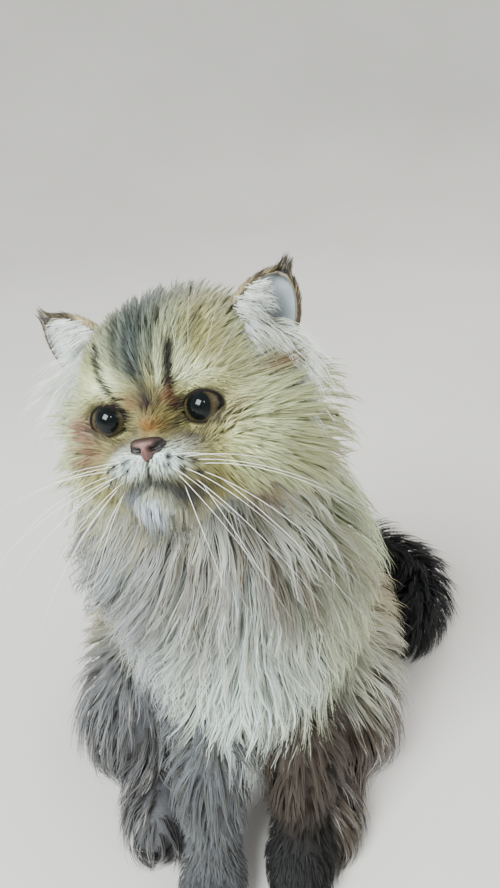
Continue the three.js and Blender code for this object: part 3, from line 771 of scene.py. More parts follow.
def strands_from(guides, normals, lengths, look, random):
    """The middle lines of the strands round each guide: (strands, rings, 3), with the guide of each."""
    owner = np.repeat(np.arange(len(guides)), look["strands"])
    count = len(owner)
    share = np.linspace(0, 1, look["rings"])[None] * (1 - look["uneven"] * random.random((count, 1)))
    middle = at_share(guides[owner], share)
    out = unit(at_share(normals[owner], share))
    tangent = unit(np.gradient(middle, axis=1))
    side = unit(np.cross(tangent, out))
    angle, radius = random.random((count, 1)) * FULL_TURN, np.sqrt(random.random((count, 1)))
    spread = look["radius"] * radius * (1 - look["clump"] * share ** 0.8)
    wave = look["wave"] * (lengths[owner, None] / WAVE_LENGTH)
    turns = share * lengths[owner, None] / look["wavelength"] * FULL_TURN
    lock_phase = 2.2 * slow_wave(guides[:, 0], 30, 2.0) + 1.4 * random.random(len(guides))
    lock_phase = lock_phase[owner, None]
    own_phase = random.random((count, 1)) * FULL_TURN
    strength = (0.6 + 0.8 * random.random(len(guides)))[owner, None]
    sway = share * (wave * strength * np.sin(turns + lock_phase)
                    + look["frizz"] * np.sin(turns * 1.7 + own_phase))
    lift = share * (0.6 * wave * strength * np.cos(turns + lock_phase)
                    + look["frizz"] * np.cos(turns * 1.4 + 2 * own_phase)
                    + look["loose"] * random.normal(size=(count, 1)))
    lines = (middle + side * (spread * np.cos(angle) + sway)[..., None]
             + tangent * (spread * np.sin(angle) * (1 - share))[..., None]
             + out * lift[..., None])
    lines[:, 0] -= out[:, 0] * look["sink"]
    lines[..., 2] = np.maximum(lines[..., 2], STRAND_LOWEST)
    # a lock is lit as one round form, so each strand's way out leans to its own side of the lock
    out = unit(out + side * (LOCK_ROUND * np.cos(angle) * radius)[..., None])
    return lines, out, owner


# %% Spikes
SOFTNESS = 0.62  # how much a strand is lit as the coat is, and not as a rod
ROUND, FLAT = 0.7, 0.24  # a strand's height beside its width, and a core's
FLAT_ROOT = 0.55  # a lock's core is narrower at its root
CORNERS = (90, 210, 330)


def spike_pattern(rings):
    """The faces of one spike, which is a tube of three sides, closed at its root and at its tip."""
    faces = [(0, 1, 2)]
    for i in range(rings - 2):
        for j in range(3):
            a, b = i * 3 + j, i * 3 + (j + 1) % 3
            faces += [(a, b + 3, b), (a, a + 3, b + 3)]
    tip, last = (rings - 1) * 3, (rings - 2) * 3
    faces += [(last + (j + 1) % 3, last + j, tip) for j in range(3)]
    return np.array(faces)


def spikes(lines, out, widths, flat):
    """Spikes round the lines: points, triangles, the pattern of one, its patch, and normals."""
    count, rings = lines.shape[:2]
    tangent = unit(np.gradient(lines, axis=1))
    side = unit(np.cross(tangent, out))
    up = np.cross(side, tangent)
    body_rings = rings - 1
    along = np.linspace(0, 1, rings)[:body_rings]
    profile = 0.1 + 1.5 * (1 - along) ** 0.8
    if flat < ROUND:
        profile *= FLAT_ROOT + (1 - FLAT_ROOT) * np.minimum(along * 4, 1)
    half = widths[:, None] * profile[None] / 2
    around, ways_out = [], []
    for turn in CORNERS:
        c, s = math.cos(math.radians(turn)), math.sin(math.radians(turn))
        around.append(lines[:, :-1] + side[:, :-1] * (half * c)[..., None]
                      + up[:, :-1] * (half * s * flat)[..., None])
        rod = side[:, :-1] * c + up[:, :-1] * s
        ways_out.append(unit(out[:, :-1] * SOFTNESS + rod * (1 - SOFTNESS)))
    per_tube = (count, body_rings * 3, 3)
    points = np.concatenate([np.stack(around, axis=2).reshape(per_tube), lines[:, -1:]], axis=1)
    normals = np.concatenate([np.stack(ways_out, axis=2).reshape(per_tube), out[:, -1:]], axis=1)
    faces = spike_pattern(rings)
    starts = np.arange(count) * points.shape[1]
    triangles = (faces[None] + starts[:, None, None]).reshape(-1, 3)
    patch = np.stack([np.append(np.tile([0.5, 0, 1], body_rings), 0.5),
                      np.append(np.repeat(along, 3), 1)], axis=1)
    return points.reshape(-1, 3), triangles, faces, patch, normals.reshape(-1, 3)


print("triangles of a spike with 6 rings:", len(spike_pattern(6)))


# %% [markdown]
# ## The markings
#
# This is a golden shaded cat: cream and pale gold hair with dark tips, a dark cap with two thin
# lines above the eyes, a rust patch at each eye's inner corner, an amber bridge, a white muzzle with
# rows of dark whisker spots, smoky lips, a white chin and bib, a brown patch under the left cheek,
# grey and brown legs, near-black toes and tail. Each mark is a soft spot or streak, laid over the
# last as washes of paint are. Some washes are painted light and shade: the lit side is painted
# cooler, the bib has a painted highlight, and painted shade darkens the other side, the bib's lower
# edge, the lowest coat, the haunches below, the left leg, the throat's locks and the gaps between
# the toes. Both the skin and the strands read the same function at their place.

# %% Paints
def paint(red, green, blue):
    """A colour named on the 0 to 255 scale, as light."""
    c = np.array([red, green, blue]) / 255
    return np.where(c <= 0.04045, c / 12.92, ((c + 0.055) / 1.055) ** 2.4)


def mixed(colour, other, amount):
    """A step from one colour towards another."""
    return colour + (other - colour) * np.clip(amount, 0, 1)[:, None]


CREAM, WHITE, GOLD = paint(222, 235, 188), paint(230, 248, 248), paint(184, 180, 114)
DARK, RUST = paint(28, 26, 20), paint(134, 90, 66)
AMBER, ASH, JOWL = paint(134, 96, 42), paint(160, 160, 162), paint(110, 72, 54)


# %% Soft spots and washes
def spot(points, middle, size):
    """A soft egg: 1 at its middle, and fading out over its size."""
    return np.exp(-(((points - middle) / size) ** 2).sum(axis=1))


def patch_at(across, up, middle, size):
    """A soft egg in a plane, at any depth."""
    return np.exp(-((across - middle[0]) / size[0]) ** 2 - ((up - middle[1]) / size[1]) ** 2)


def streak(local, line, width):
    """A line of one width with soft edges, on the front of the head."""
    away = off_line(local[:, 0], local[:, 2], line)
    return np.exp(-(away / width) ** 4) * (local[:, 1] < 5)


class Marks:
    """A colour and a share of dark tips at each of some points."""

    def __init__(self, count, colour, tips):
        self.colour = np.tile(colour, (count, 1))
        self.tips = np.full(count, tips)

    def lay(self, mask, colour, strength=1, tips=0, plain=0):
        """Lays a wash over the mask. Tips gives more dark tips there, and plain takes them away."""
        self.colour = mixed(self.colour, colour, strength * mask)
        self.tips = self.tips * (1 - np.clip(plain * mask, 0, 1)) + tips * mask


print("gold as light:", np.round(GOLD, 2))


# %% The face's ground, its crown and its cap
def lay_ground(marks, local, mirror):
    """Gold, paler at the sides and over the eyes, and darker on the crown."""
    x, _, z = local.T
    marks.lay(smooth_step(np.abs(x), 24, 48), CREAM, 0.75, plain=0.6)
    sides = np.clip(smooth_step(x, 12, 26) + smooth_step(-x, 22, 34), 0, 1)
    marks.lay(smooth_step(z, 14, 34) * (1 - 0.75 * sides), paint(164, 176, 148), 0.7, tips=0.35)
    marks.lay(spot(mirror, (22, -33, 19), (11, 30, 5.5)), paint(242, 252, 208), 1.1, plain=0.9)
    for middle in ((7.5, 22), (17.5, 21), (-16.5, 22)):
        marks.lay(patch_at(x, z, middle, (2.6, 8)), paint(238, 248, 210), 0.85, plain=0.6)


def lay_cap(marks, local):
    """The grey cap runs down to a point between the eyes, with dark streaks in it."""
    x, y, z = local.T
    cap = np.exp(-((x + 4) / (6 + 0.24 * np.clip(z - 12, 0, 60))) ** 2) * smooth_step(z, 8, 26)
    shade = mixed(np.tile(paint(64, 84, 94), (len(x), 1)), paint(92, 84, 72), smooth_step(y, -22, 6))
    marks.lay(cap, shade, 0.85 * (1 - 0.5 * smooth_step(y, 8, 36)), tips=0.3)
    marks.lay(spot(local, (-0.5, -38, 9), (8.5, 30, 8.5)), paint(54, 42, 32), 1.1)
    for line in ([(-23, 36), (-21.5, 22), (-17, 9), (-13, 4)], [(14, 32), (12.2, 22), (10.3, 10), (11, 5)]):
        marks.lay(streak(local, line, 2.4), DARK, tips=1)
    for line, strength in (([(-32, 44), (-30, 30)], 0.5), ([(24, 46), (22, 32)], 0.5),
                           ([(-13, 46), (-11, 26)], 0.7), ([(-6, 50), (-5, 20)], 0.8),
                           ([(0, 48), (-1, 14)], 0.7), ([(7, 50), (5, 24)], 0.6)):
        marks.lay(streak(local, line, 1.9), paint(36, 38, 34), strength)


# %% Rust, amber and brown
def lay_warm_marks(marks, local, mirror):
    """Rust by the eyes' inner corners, amber on the bridge, brown beside and under the eyes."""
    x, _, z = local.T
    marks.lay(spot(mirror, (9, -39, 10), (3.6, 20, 4.5)), RUST, 0.75, plain=0.7)
    outside = spot(mirror, (37, -32, 0), (8, 22, 9)) * np.where(x < 0, 1.1, 0.35)
    marks.lay(outside, paint(136, 100, 84))
    marks.lay(spot(local, (0, -45, -2), (8.5, 20, 5)), AMBER, 1.1, plain=0.3)
    marks.tips = np.clip(marks.tips, 0, 1)
    marks.lay(spot(mirror, (16, -36, -10), (12, 20, 6)), paint(100, 82, 56), 0.95, tips=0.7)
    # brown before the left ear and on the right cheek
    for middle, size in (((54, 18), (9, 5)), ((-36, -12), (9, 9))):
        marks.lay(patch_at(x, z, middle, size), paint(118, 78, 56), 0.9)


# %% Muzzle, lips and chin
WHISKER_SPOTS = ((10, -15.5), (15.5, -17), (20, -19), (9.5, -19.5), (15.5, -21.5), (20.5, -24))


def lay_muzzle(marks, local, mirror):
    """The white muzzle with its rows of whisker spots, smoky lips and a white chin."""
    x, y, z = local.T
    marks.lay(spot(mirror, (8, -50, -17.5), (10, 25, 6.4)), WHITE, 1.3, plain=1.5)
    for place in WHISKER_SPOTS:
        marks.lay(patch_at(np.abs(x), z, place, (1.5, 1.5)) * (y < -30), DARK, 1.3)
    lips = np.exp(-(off_mouth(local) / np.where(x > 0, 5.4, 4.2)) ** 2) * smooth_step(-z, 18, 25)
    marks.lay(lips, paint(42, 44, 50), 0.9)
    marks.lay(streak(local, [(0, -15), (0, -25)], 1.0), paint(42, 42, 46), 0.85)
    side_lip = spot(mirror, (15, -40, -31), (11, 20, 6)) * np.where(x > 0, 1, 0.7)
    marks.lay(side_lip, paint(50, 50, 54), 0.8)
    chin = spot(local, (-5, -45, -41), (11, 25, 9))
    marks.lay(chin, paint(206, 222, 238), 1.3, plain=1)
    marks.lay(smooth_step(-z, 36, 50), paint(206, 210, 208), 0.75 * (1 - chin), plain=0.8)


# %% Markings of the face
def face_marks(local):
    """The marks of the head's coat, at points in the head's frame."""
    x, y, z = local.T
    mirror = np.stack([np.abs(x), y, z], axis=1)
    marks = Marks(len(x), GOLD, 0.45)
    lay_ground(marks, local, mirror)
    lay_cap(marks, local)
    lay_warm_marks(marks, local, mirror)
    lay_muzzle(marks, local, mirror)
    # a brown patch under the left cheek
    marks.lay(spot(local, (38, -4, -43), (11, 24, 6)), JOWL, 0.9)
    # the back of the head is like the neck
    behind = smooth_step(y, 5, 36) * (1 - 0.6 * np.exp(-(x / 14) ** 2))
    marks.lay(behind, paint(190, 179, 148), 0.85, plain=0.3)
    # dark skin shows round the lids and the nose
    marks.lay(spot(mirror, (9.5, -38, -3), (2.4, 20, 3)), paint(44, 38, 38), 0.85)
    for side in SIDES.values():
        _, length, angle, turn = eye_angles(local, side)
        beyond = np.clip(angle - opening(turn, side) - 0.1, 0, 9)
        rim = np.exp(-(beyond / (0.1 + 0.06 * np.sin(turn))) ** 2) * (length < 14.5)
        marks.lay(rim, paint(44, 34, 28), 0.8)
    marks.tips = np.clip(marks.tips, 0, 1)
    return marks


# %% Markings of the body
def body_marks(points):
    """The marks of neck, trunk and haunches."""
    x, y, z = points.T
    marks = Marks(len(x), CREAM, 0.12)
    back = smooth_step(y, -112, -48)
    marks.lay(back, paint(188, 174, 144), 0.85, tips=0.4)
    marks.lay(back * np.exp(-(x / 26) ** 2), paint(106, 88, 70), 0.7)
    marks.lay(np.exp(-((x + 5) / 62) ** 2) * smooth_step(-y, 90, 130), paint(222, 232, 236), 0.85)
    # painted light and shade: the lit side is painted cool, and the other side is painted warmer and darker
    # as shade
    side = smooth_step(-y, 60, 120)
    marks.lay(side * smooth_step(-x, 8, 52), paint(164, 169, 181), 0.85)
    painted_shade_side = side * smooth_step(x, 30, 75) * (1 - smooth_step(z, 190, 250))
    marks.lay(painted_shade_side, paint(182, 186, 158), 0.7)
    # warm shadowed locks at the throat's two sides
    throat = patch_at(x, z, (2, 252), (64, 40)) * smooth_step(-y, 96, 130)
    throat = throat * np.clip(0.45 + 1.3 * slow_wave(points, 12, 5.0), 0, 1)
    marks.lay(throat, paint(112, 96, 82), 0.8)
    marks.lay(patch_at(x, z, (16, 300), (13, 11)) * smooth_step(-y, 130, 155), JOWL, 0.9)
    # painted shade: a brown shadow on the throat's left side
    marks.lay(patch_at(x, z, (36, 246), (24, 24)) * smooth_step(-y, 96, 130), paint(104, 92, 76), 0.7)
    # the bib is white with a painted highlight at its middle, and painted shade makes it greyer at its lower
    # edge, browner away from the light and bluer on the lit side
    marks.lay(patch_at(x, z, (2, 166), (34, 32)) * smooth_step(-y, 100, 140), paint(236, 255, 252), 0.9)
    under = side * (1 - smooth_step(z, 92, 150))
    marks.lay(under * smooth_step(x, -15, 45), paint(136, 124, 110), 0.75)
    marks.lay(under * smooth_step(-x, -15, 45), paint(142, 145, 152), 0.75)
    # painted shade: the coat is greyer and darker towards the floor
    marks.lay(1 - smooth_step(z, 44, 76), ASH, 0.85, plain=1)
    return marks


# %% Markings of the haunches and the front legs
# the left leg, away from the light, is painted brown as shade
LEG_PAINTS = (("left", paint(70, 61, 54), paint(15, 14, 16), 70),
              ("right", paint(102, 105, 110), paint(46, 46, 49), 40))  # shade, toes, and the toes' top


def mark_haunches(marks, points, own):
    """Pale above and brown-grey below, with light tips. The darker lower part is painted shade, and the lit
    side is painted cooler than the other.
    """
    x, y, z = points.T
    feet = own["hind_paw_left"] + own["hind_paw_right"]
    haunch = smooth_step(own["hind_leg_left"] + own["hind_leg_right"] + feet, 0.15, 0.6)
    unlit = smooth_step(x, -40, 40)
    lower = mixed(np.tile(paint(86, 86, 90), (len(x), 1)), paint(84, 72, 62), unlit)
    upper = mixed(np.tile(paint(110, 112, 117), (len(x), 1)), paint(206, 210, 192), unlit)
    upper = mixed(upper, marks.colour, smooth_step(y, -90, -30))
    height = smooth_step(z - 26 * unlit, 38, 80 - 10 * unlit)
    marks.lay(haunch, lower + (upper - lower) * height[:, None], 0.95)
    marks.tips = marks.tips + (-0.8 - marks.tips) * haunch * (1 - 0.5 * height)
    marks.lay(feet * (1 - smooth_step(z, 2, 14)), paint(50, 46, 44), 0.8)


def mark_front_legs(marks, points, own):
    """Grey on the lit side and brown away from it, where the brown is painted shade, with dark toes and
    painted shade in the gaps between them.
    """
    x, y, z = points.T
    for name, shade, toes, top in LEG_PAINTS:
        leg = smooth_step(own[f"front_leg_{name}"] + own[f"front_paw_{name}"], 0.2, 0.6)
        marks.lay(leg, shade, plain=1)
        marks.lay(leg * (1 - smooth_step(z, top - 45, top)), toes, 0.95)
        # painted shade in the gaps between the toes
        toe_gap_shade = np.abs(x[:, None] - PAW_SPREAD[name] - TOE_GAPS).min(axis=1)
        toe_gap_shade = np.exp(-(toe_gap_shade / 1.5) ** 2) * smooth_step(PAW_REACH[name] - y, 6, 15)
        marks.lay(leg * toe_gap_shade, paint(14, 14, 15), 0.75)


# %% Markings of the whole cat
def marks_at(points, shares=None):
    """The coat's colour, and the share of hairs with dark tips, at any point on the cat."""
    if shares is None:
        shares = body(points, True)[3]
    own = dict(zip(parts, shares))
    marks = body_marks(points)
    face = face_marks(to_head(points))
    marks.colour = mixed(marks.colour, face.colour, own["head"])
    marks.tips = marks.tips + (face.tips - marks.tips) * own["head"]
    mark_haunches(marks, points, own)
    mark_front_legs(marks, points, own)
    marks.lay(own["tail"] * smooth_step(points[:, 0], 20, 80), paint(28, 30, 32), plain=1)
    return marks.colour, np.clip(marks.tips, -1, 1)


skin_paint = marks_at(skin_points)[0]
keep_values(skin_mesh, "fur_colour", skin_paint * 0.9)
print("mean colour of the skin:", np.round(skin_paint.mean(axis=0), 2))

# %% [markdown]
# ## Materials of skin and coat
#
# Both read the marking kept on their points. The coat's material darkens a strand towards its root,
# where less light comes in, and a noise in the object's own space varies it from lock to lock.

# %% Node helpers
def new_material(name):
    material = bpy.data.materials.new(name)
    material.use_nodes = True
    tree = material.node_tree
    return material, tree, tree.nodes["Principled BSDF"]


def add(tree, kind, **settings):
    """A new node, with its inputs or its own settings set by name."""
    node = tree.nodes.new(kind)
    for key, value in settings.items():
        if key in node.inputs:
            node.inputs[key].default_value = value
        else:
            setattr(node, key, value)
    return node


def noise(tree, scale, detail=3.0):
    where = add(tree, "ShaderNodeTexCoord")
    made = add(tree, "ShaderNodeTexNoise", Scale=scale, Detail=detail)
    tree.links.new(where.outputs["Object"], made.inputs["Vector"])
    return made.outputs["Fac"]


def ramp(tree, source, stops):
    made = add(tree, "ShaderNodeValToRGB")
    elements = made.color_ramp.elements
    while len(elements) < len(stops):
        elements.new(0.5)
    for element, (place, colour) in zip(elements, stops):
        element.position = place
        element.color = (*colour, 1)
    tree.links.new(source, made.inputs["Fac"])
    return made.outputs["Color"]


def multiplied(tree, first, second):
    made = add(tree, "ShaderNodeMix", data_type="RGBA", blend_type="MULTIPLY")
    made.inputs["Factor"].default_value = 1.0
    tree.links.new(first, made.inputs["A"])
    tree.links.new(second, made.inputs["B"])
    return made.outputs["Result"]


def bumped(tree, shader, source, strength, distance):
    bump = add(tree, "ShaderNodeBump", Strength=strength, Distance=distance)
    tree.links.new(source, bump.inputs["Height"])
    tree.links.new(bump.outputs["Normal"], shader.inputs["Normal"])


def kept_on_points(tree, attribute, output="Color"):
    return add(tree, "ShaderNodeAttribute", attribute_name=attribute).outputs[output]


def grey(value):
    return (value, value, value)


# %% A painted finish
def painted(name, attribute, roughness, scale, detail, dark, between):
    """A material whose colour is kept on the points, and is dark in blotches of a noise's scale."""
    material, tree, shader = new_material(name)
    blotches = ramp(tree, noise(tree, scale, detail), list(zip(between, (dark, grey(1)))))
    colour = multiplied(tree, kept_on_points(tree, attribute), blotches)
    tree.links.new(colour, shader.inputs["Base Color"])
    shader.inputs["Roughness"].default_value = roughness
    return material, tree, shader


skin_finish, skin_tree, skin_shader = painted(
    "skin_under_the_coat", "fur_colour", 0.85, 700, 4, grey(0.7), (0.3, 0.7))
bumped(skin_tree, skin_shader, noise(skin_tree, 1400, 4), 0.6, 0.0006)
skin_mesh.materials.clear()
skin_mesh.materials.append(skin_finish)
print("the skin's material:", skin_finish.name)


# %% Coat materials
def fur_material(name, root_shade, roughness, sheen):
    """Hair with painted shade that darkens it towards its root, with fine streaks along it and soft patches
    over the coat.
    """
    material, tree, shader = new_material(name)
    colour = kept_on_points(tree, "fur_colour")
    share = kept_on_points(tree, "strand_share", "Fac")
    across = kept_on_points(tree, "strand_across", "Fac")
    place = add(tree, "ShaderNodeCombineXYZ")
    tree.links.new(across, place.inputs["X"])
    tree.links.new(share, place.inputs["Y"])
    streaks = add(tree, "ShaderNodeTexNoise", Scale=1.1, Detail=3.0)
    tree.links.new(place.outputs["Vector"], streaks.inputs["Vector"])
    lines = ramp(tree, streaks.outputs["Fac"], [(0.34, (0.62, 0.6, 0.56)), (0.6, grey(1))])
    # painted shade: the darker root stands for the shade deep in the coat
    root = (root_shade, root_shade * 0.96, root_shade * 0.9)
    depth = ramp(tree, share, [(0, root), (0.4, (0.94, 0.94, 0.92)), (1, grey(1))])
    patches = ramp(tree, noise(tree, 90), [(0.3, (0.87, 0.86, 0.84)), (0.7, grey(1))])
    shaded = multiplied(tree, multiplied(tree, colour, depth), patches)
    tree.links.new(multiplied(tree, shaded, lines), shader.inputs["Base Color"])
    shader.inputs["Roughness"].default_value = roughness
    shader.inputs["Specular IOR Level"].default_value = 0.25
    shader.inputs["Sheen Weight"].default_value = sheen
    shader.inputs["Sheen Roughness"].default_value = 0.5
    bumped(tree, shader, streaks.outputs["Fac"], 0.5, 0.0004)
    return material


long_fur = fur_material("long_coat_hair", 0.64, 0.6, 0.12)
short_fur = fur_material("short_coat_hair", 0.7, 0.7, 0.08)
dark_fur = fur_material("dark_coat_hair", 0.6, 0.55, 0.03)
print("materials:", [m.name for m in bpy.data.materials])

# %% [markdown]
# ## Which coat grows where
#
# The length of the hair follows the depth of the coat. Long locks have many rings so that they can
# wave, and the short hairs of the face and feet have few. How many strands grow on a patch follows
# from how much of it one strand covers.

# %% Kinds of hair
# Coat's depth in millimetres, and the hair's length there.
LENGTHS = ([2, 4, 8, 11, 20, 28, 36, 44], [4, 5.5, 8.5, 12, 26, 42, 56, 68])
# A kind goes up to a length. A guide carries so many strands of so many rings, spread over a radius,
# and clump says how far they meet at the tip. Layers is how many strands deep the coat is, mark is
# how far out a strand takes its marking, and tone how much locks differ. A core is a broad flat
# strand under the fine ones.
KINDS = {
    "fine": {"upto": 9, "strands": 3, "rings": 3, "width": 0.27, "radius": 0.8, "clump": 0.4,
             "wave": 0.3, "wavelength": 14, "frizz": 0.15, "loose": 0.25, "sink": 0.4, "uneven": 0.3,
             "layers": 6.0, "droop": 0.0, "mark": 0.5, "tone": 0.1},
    "short": {"upto": 17, "strands": 3, "rings": 4, "width": 0.36, "radius": 1.7, "clump": 0.45,
              "wave": 1.0, "wavelength": 24, "frizz": 0.35, "loose": 0.6, "sink": 0.6, "uneven": 0.35,
              "layers": 1.9, "droop": 0.03, "mark": 0.5, "tone": 0.16,
              "core": 1.3, "cores": 1, "core_rings": 4, "under": 0.4},
    "middle": {"upto": 31, "strands": 6, "rings": 5, "width": 0.42, "radius": 3.2, "clump": 0.5,
               "wave": 1.8, "wavelength": 36, "frizz": 0.7, "loose": 1.4, "sink": 1.0, "uneven": 0.4,
               "layers": 3.0, "droop": 0.1, "mark": 0.45, "tone": 0.2,
               "core": 1.3, "cores": 2, "core_rings": 6, "under": 0.8},
    "long": {"upto": 99, "strands": 6, "rings": 6, "width": 0.44, "radius": 4.4, "clump": 0.52,
             "wave": 3.4, "wavelength": 42, "frizz": 1.2, "loose": 2.2, "sink": 1.2, "uneven": 0.45,
             "layers": 2.3, "droop": 0.08, "mark": 0.35, "tone": 0.24,
             "core": 1.6, "cores": 2, "core_rings": 7, "under": 1.3},
}
print("kinds of hair:", ", ".join(KINDS))

# %% Roots all over the skin
CANDIDATES = 260000
coat_rng = np.random.default_rng(17)
draws, draw_uv, skin_area = draw_roots(skin_points[skin_corners], skin_uv, CANDIDATES, coat_rng)
distance, depth, draw_normal, draw_shares = body(draws, True)
draw_local = to_head(draws)
draw_own = dict(zip(parts, draw_shares))
own_head, on_neck, on_tail = draw_own["head"], draw_own["neck"], draw_own["tail"]
hind_paws = sum(draw_own[f"hind_paw_{name}"] for name in SIDES)
on_haunch = sum(draw_own[f"hind_leg_{name}"] for name in SIDES)
on_legs = sum(draw_own[f"front_leg_{name}"] for name in SIDES)
on_feet = sum(draw_own[f"{kind}_paw_{name}"] for kind in ("front", "hind") for name in SIDES)
on_front = (draw_own["torso"] + draw_own["neck"]) * (draws[:, 1] < -80)
print("the skin's area, square cm:", round(skin_area / 100))

# %% [markdown]
# The depth of the coat gives a first length. Some places then need more: the beard under the chin,
# the crest between the ears, the nape, the fringe of the haunches, the feathering of the hind paws,
# and the front legs where they come out of the bib.

# %% How long the hair is
HIND_PAW_HAIR = 36
hair_length = np.interp(depth, *LENGTHS)
hair_length = hair_length + (HIND_PAW_HAIR - hair_length) * hind_paws * (hair_length < HIND_PAW_HAIR)
between_legs = on_legs * np.exp(-((draws[:, 0] - 10) / 13) ** 2)
upper_leg = on_legs * smooth_step(draws[:, 2], 46, 92)
beard = spot(draw_local, (0, -36, -43), (20, 18, 12))
nape = smooth_step(draw_local[:, 1], 14, 36) * (1 - smooth_step(draw_local[:, 2], 6, 34)) * own_head
crest = spot(draw_local, (9, 2, 50), (36, 26, 14))
fringe = on_haunch * smooth_step(-draws[:, 1], 66, 106) * (1 - smooth_step(draws[:, 2], 46, 84))
collar = on_neck * smooth_step(draws[:, 2], 256, 292) * smooth_step(draws[:, 1], -122, -92)
for place, longer in ((beard, 15), (crest, 15), (nape, 36), (between_legs, 12), (fringe, 16),
                      (upper_leg, 20)):
    hair_length = hair_length + longer * place
print("longest hair, mm:", round(float(hair_length.max())))

# %% [markdown]
# A strand hides the skin under it, so the number of strands follows from how many layers of them
# the coat has. The back and underside need fewer than the side that faces the camera, the bib more.
# No hair grows where the lids open, on the nose leather, at the lips' edge and on the soles.

# %% How many hairs grow where
SEEN_FROM = np.array([3, -434, 490.0])  # the coat is densest where it faces this place


def bare(points):
    """Where no hair grows."""
    local = to_head(points)
    none = np.zeros(len(points), bool)
    for side in SIDES.values():
        _, length, angle, turn = eye_angles(local, side)
        none |= (length < 17) & (angle < opening(turn, side) + 0.08)
    none |= np.linalg.norm((local - NOSE + (0, 0, 1)) / (6.5, 9, 5), axis=1) < 1
    none |= off_mouth(local) < 0.5
    return none | (points[:, 2] < 1.0)


kinds = np.searchsorted([look["upto"] for look in KINDS.values()], hair_length)
chance = np.zeros(len(draws))
for number, look in enumerate(KINDS.values()):
    chosen = kinds == number
    need = look["layers"] / (look["width"] * hair_length * look["strands"])
    chance[chosen] = (need * skin_area / len(draws))[chosen]
toward_camera = (draw_normal * unit(SEEN_FROM - draws)).sum(axis=1)
chance *= 0.6 + 0.54 * smooth_step(toward_camera, -0.3, 0.5)
chance *= (1 - 0.7 * on_feet + 0.4 * hind_paws) * (1 - 0.5 * on_legs)
chance *= (1 + 0.7 * on_front) * (1 + 0.3 * on_tail)
chance *= 1 - 0.7 * smooth_step(-draw_normal[:, 2], 0.55, 0.85) * (draws[:, 2] < 150)
visible = (distance > -3) & ~bare(draws)
kept = visible & (coat_rng.random(len(draws)) < chance)
print("guides:", int(kept.sum()))

# %% The pieces of the coat
REGIONS = ["head", "neck", "chest", "back", "haunches", "legs", "paws", "tail"]
CHEST_ENDS = -95
grown = {region: [] for region in REGIONS}


def region_of(points, shares):
    """The number of the region that each root belongs to."""
    own = dict(zip(parts, shares))
    ahead = points[:, 1] < CHEST_ENDS
    scores = np.stack([
        own["head"], own["neck"], own["torso"] * ahead, own["torso"] * ~ahead,
        own["hind_leg_left"] + own["hind_leg_right"], own["front_leg_left"] + own["front_leg_right"],
        sum(own[f"{kind}_paw_{name}"] for kind in ("front", "hind") for name in SIDES), own["tail"]])
    return scores.argmax(axis=0)


# %% Colours along the strands
CORE_SHADE = 0.85
LOCK_TINT = np.array([0.9, 1.0, 1.15])  # darker locks are a little warmer


def strand_colours(base, tips, many_rings, random):
    """Colours for each ring of each strand, with dark tips, or light ones where tips is under 0."""
    count = len(base)
    tint = 1 + random.normal(size=(count, 1)) * 0.07
    warm = 1 + random.normal(size=(count, 1)) * np.array([[0.03, 0, -0.05]])
    base = np.clip(base * tint * warm, 0.01, 0.95)
    share = np.linspace(0, 1, many_rings)[None, :, None]
    has_tip = random.random((count, 1, 1)) < np.abs(tips)[:, None, None] * 0.75
    band = smooth_step(share, 0.5, 0.85) * has_tip * (0.5 + 0.5 * random.random((count, 1, 1)))
    dark_tip = base * 0.2 + paint(50, 44, 32) * 0.5
    light_tip = base * 0.3 + paint(206, 204, 200) * 0.7
    tip = np.where(tips[:, None] > 0, dark_tip, light_tip)
    return base[:, None] * (1 - band) + tip[:, None] * band


def keep_grown(guides, normals, lengths, look, at, flat):
    """Makes the strands of some guides, or their cores, and sorts them by region."""
    lines, out, owner = strands_from(guides, normals, lengths, look, coat_rng)
    # a strand takes the marking of the place where it shows, which is well out along it
    seen = at_share(lines, np.full((len(lines), 1), look["mark"]))[:, 0]
    base, tips = marks_at(seen, draw_shares[:, at][:, owner])
    tone = look["tone"] * (slow_wave(draws[at], 6, 3.0) + 0.7 * slow_wave(draws[at], 17, 7.0))
    base = base * (1 + tone[owner, None] * LOCK_TINT)
    if flat < ROUND:
        base = base * CORE_SHADE
    colours = strand_colours(base, tips, look["rings"], coat_rng)
    widths = look["width"] * (0.6 + 0.8 * coat_rng.random(len(owner)))
    regions = region_of(draws[at], draw_shares[:, at])[owner]
    for i, region in enumerate(REGIONS):
        mine = regions == i
        if mine.any():
            grown[region].append((flat, lines[mine], out[mine], widths[mine], colours[mine],
                                  draw_uv[at][owner][mine]))
    print(look["rings"], "rings:", len(at), "guides,", len(owner), "strands")


# %% [markdown]
# Guides follow the skin, which would press hair into two folds: the throat under the chin, and the
# nape behind a lifted head. There the hair hangs free instead, in a way of its own.

# %% Growing every strand
LOOSE_TURN = {"fine": 0.08, "short": 0.12, "middle": 0.16, "long": 0.16}  # radians
TURN_SHARE = {"fine": 0.35, "short": 0.7, "middle": 1, "long": 1}  # of the slow waves in the lie
BEARD_WAY, NAPE_WAY = np.array([0, -0.28, -0.96]), np.array([0, 0.66, -0.75])


def tops_at(at):
    """How high above the skin the tips of some guides end, as a share of the coat's depth."""
    top = 0.76 + 0.3 * coat_rng.random(len(at)) + 1.5 * crest[at]
    top += 0.1 * smooth_step(draws[at, 0], 20, 60) + 0.15 * on_tail[at]
    top += 0.22 * own_head[at] * smooth_step(draw_local[at, 0], 25, 50)
    return top + 1.2 * hind_paws[at] + 0.8 * upper_leg[at] - 0.5 * collar[at]


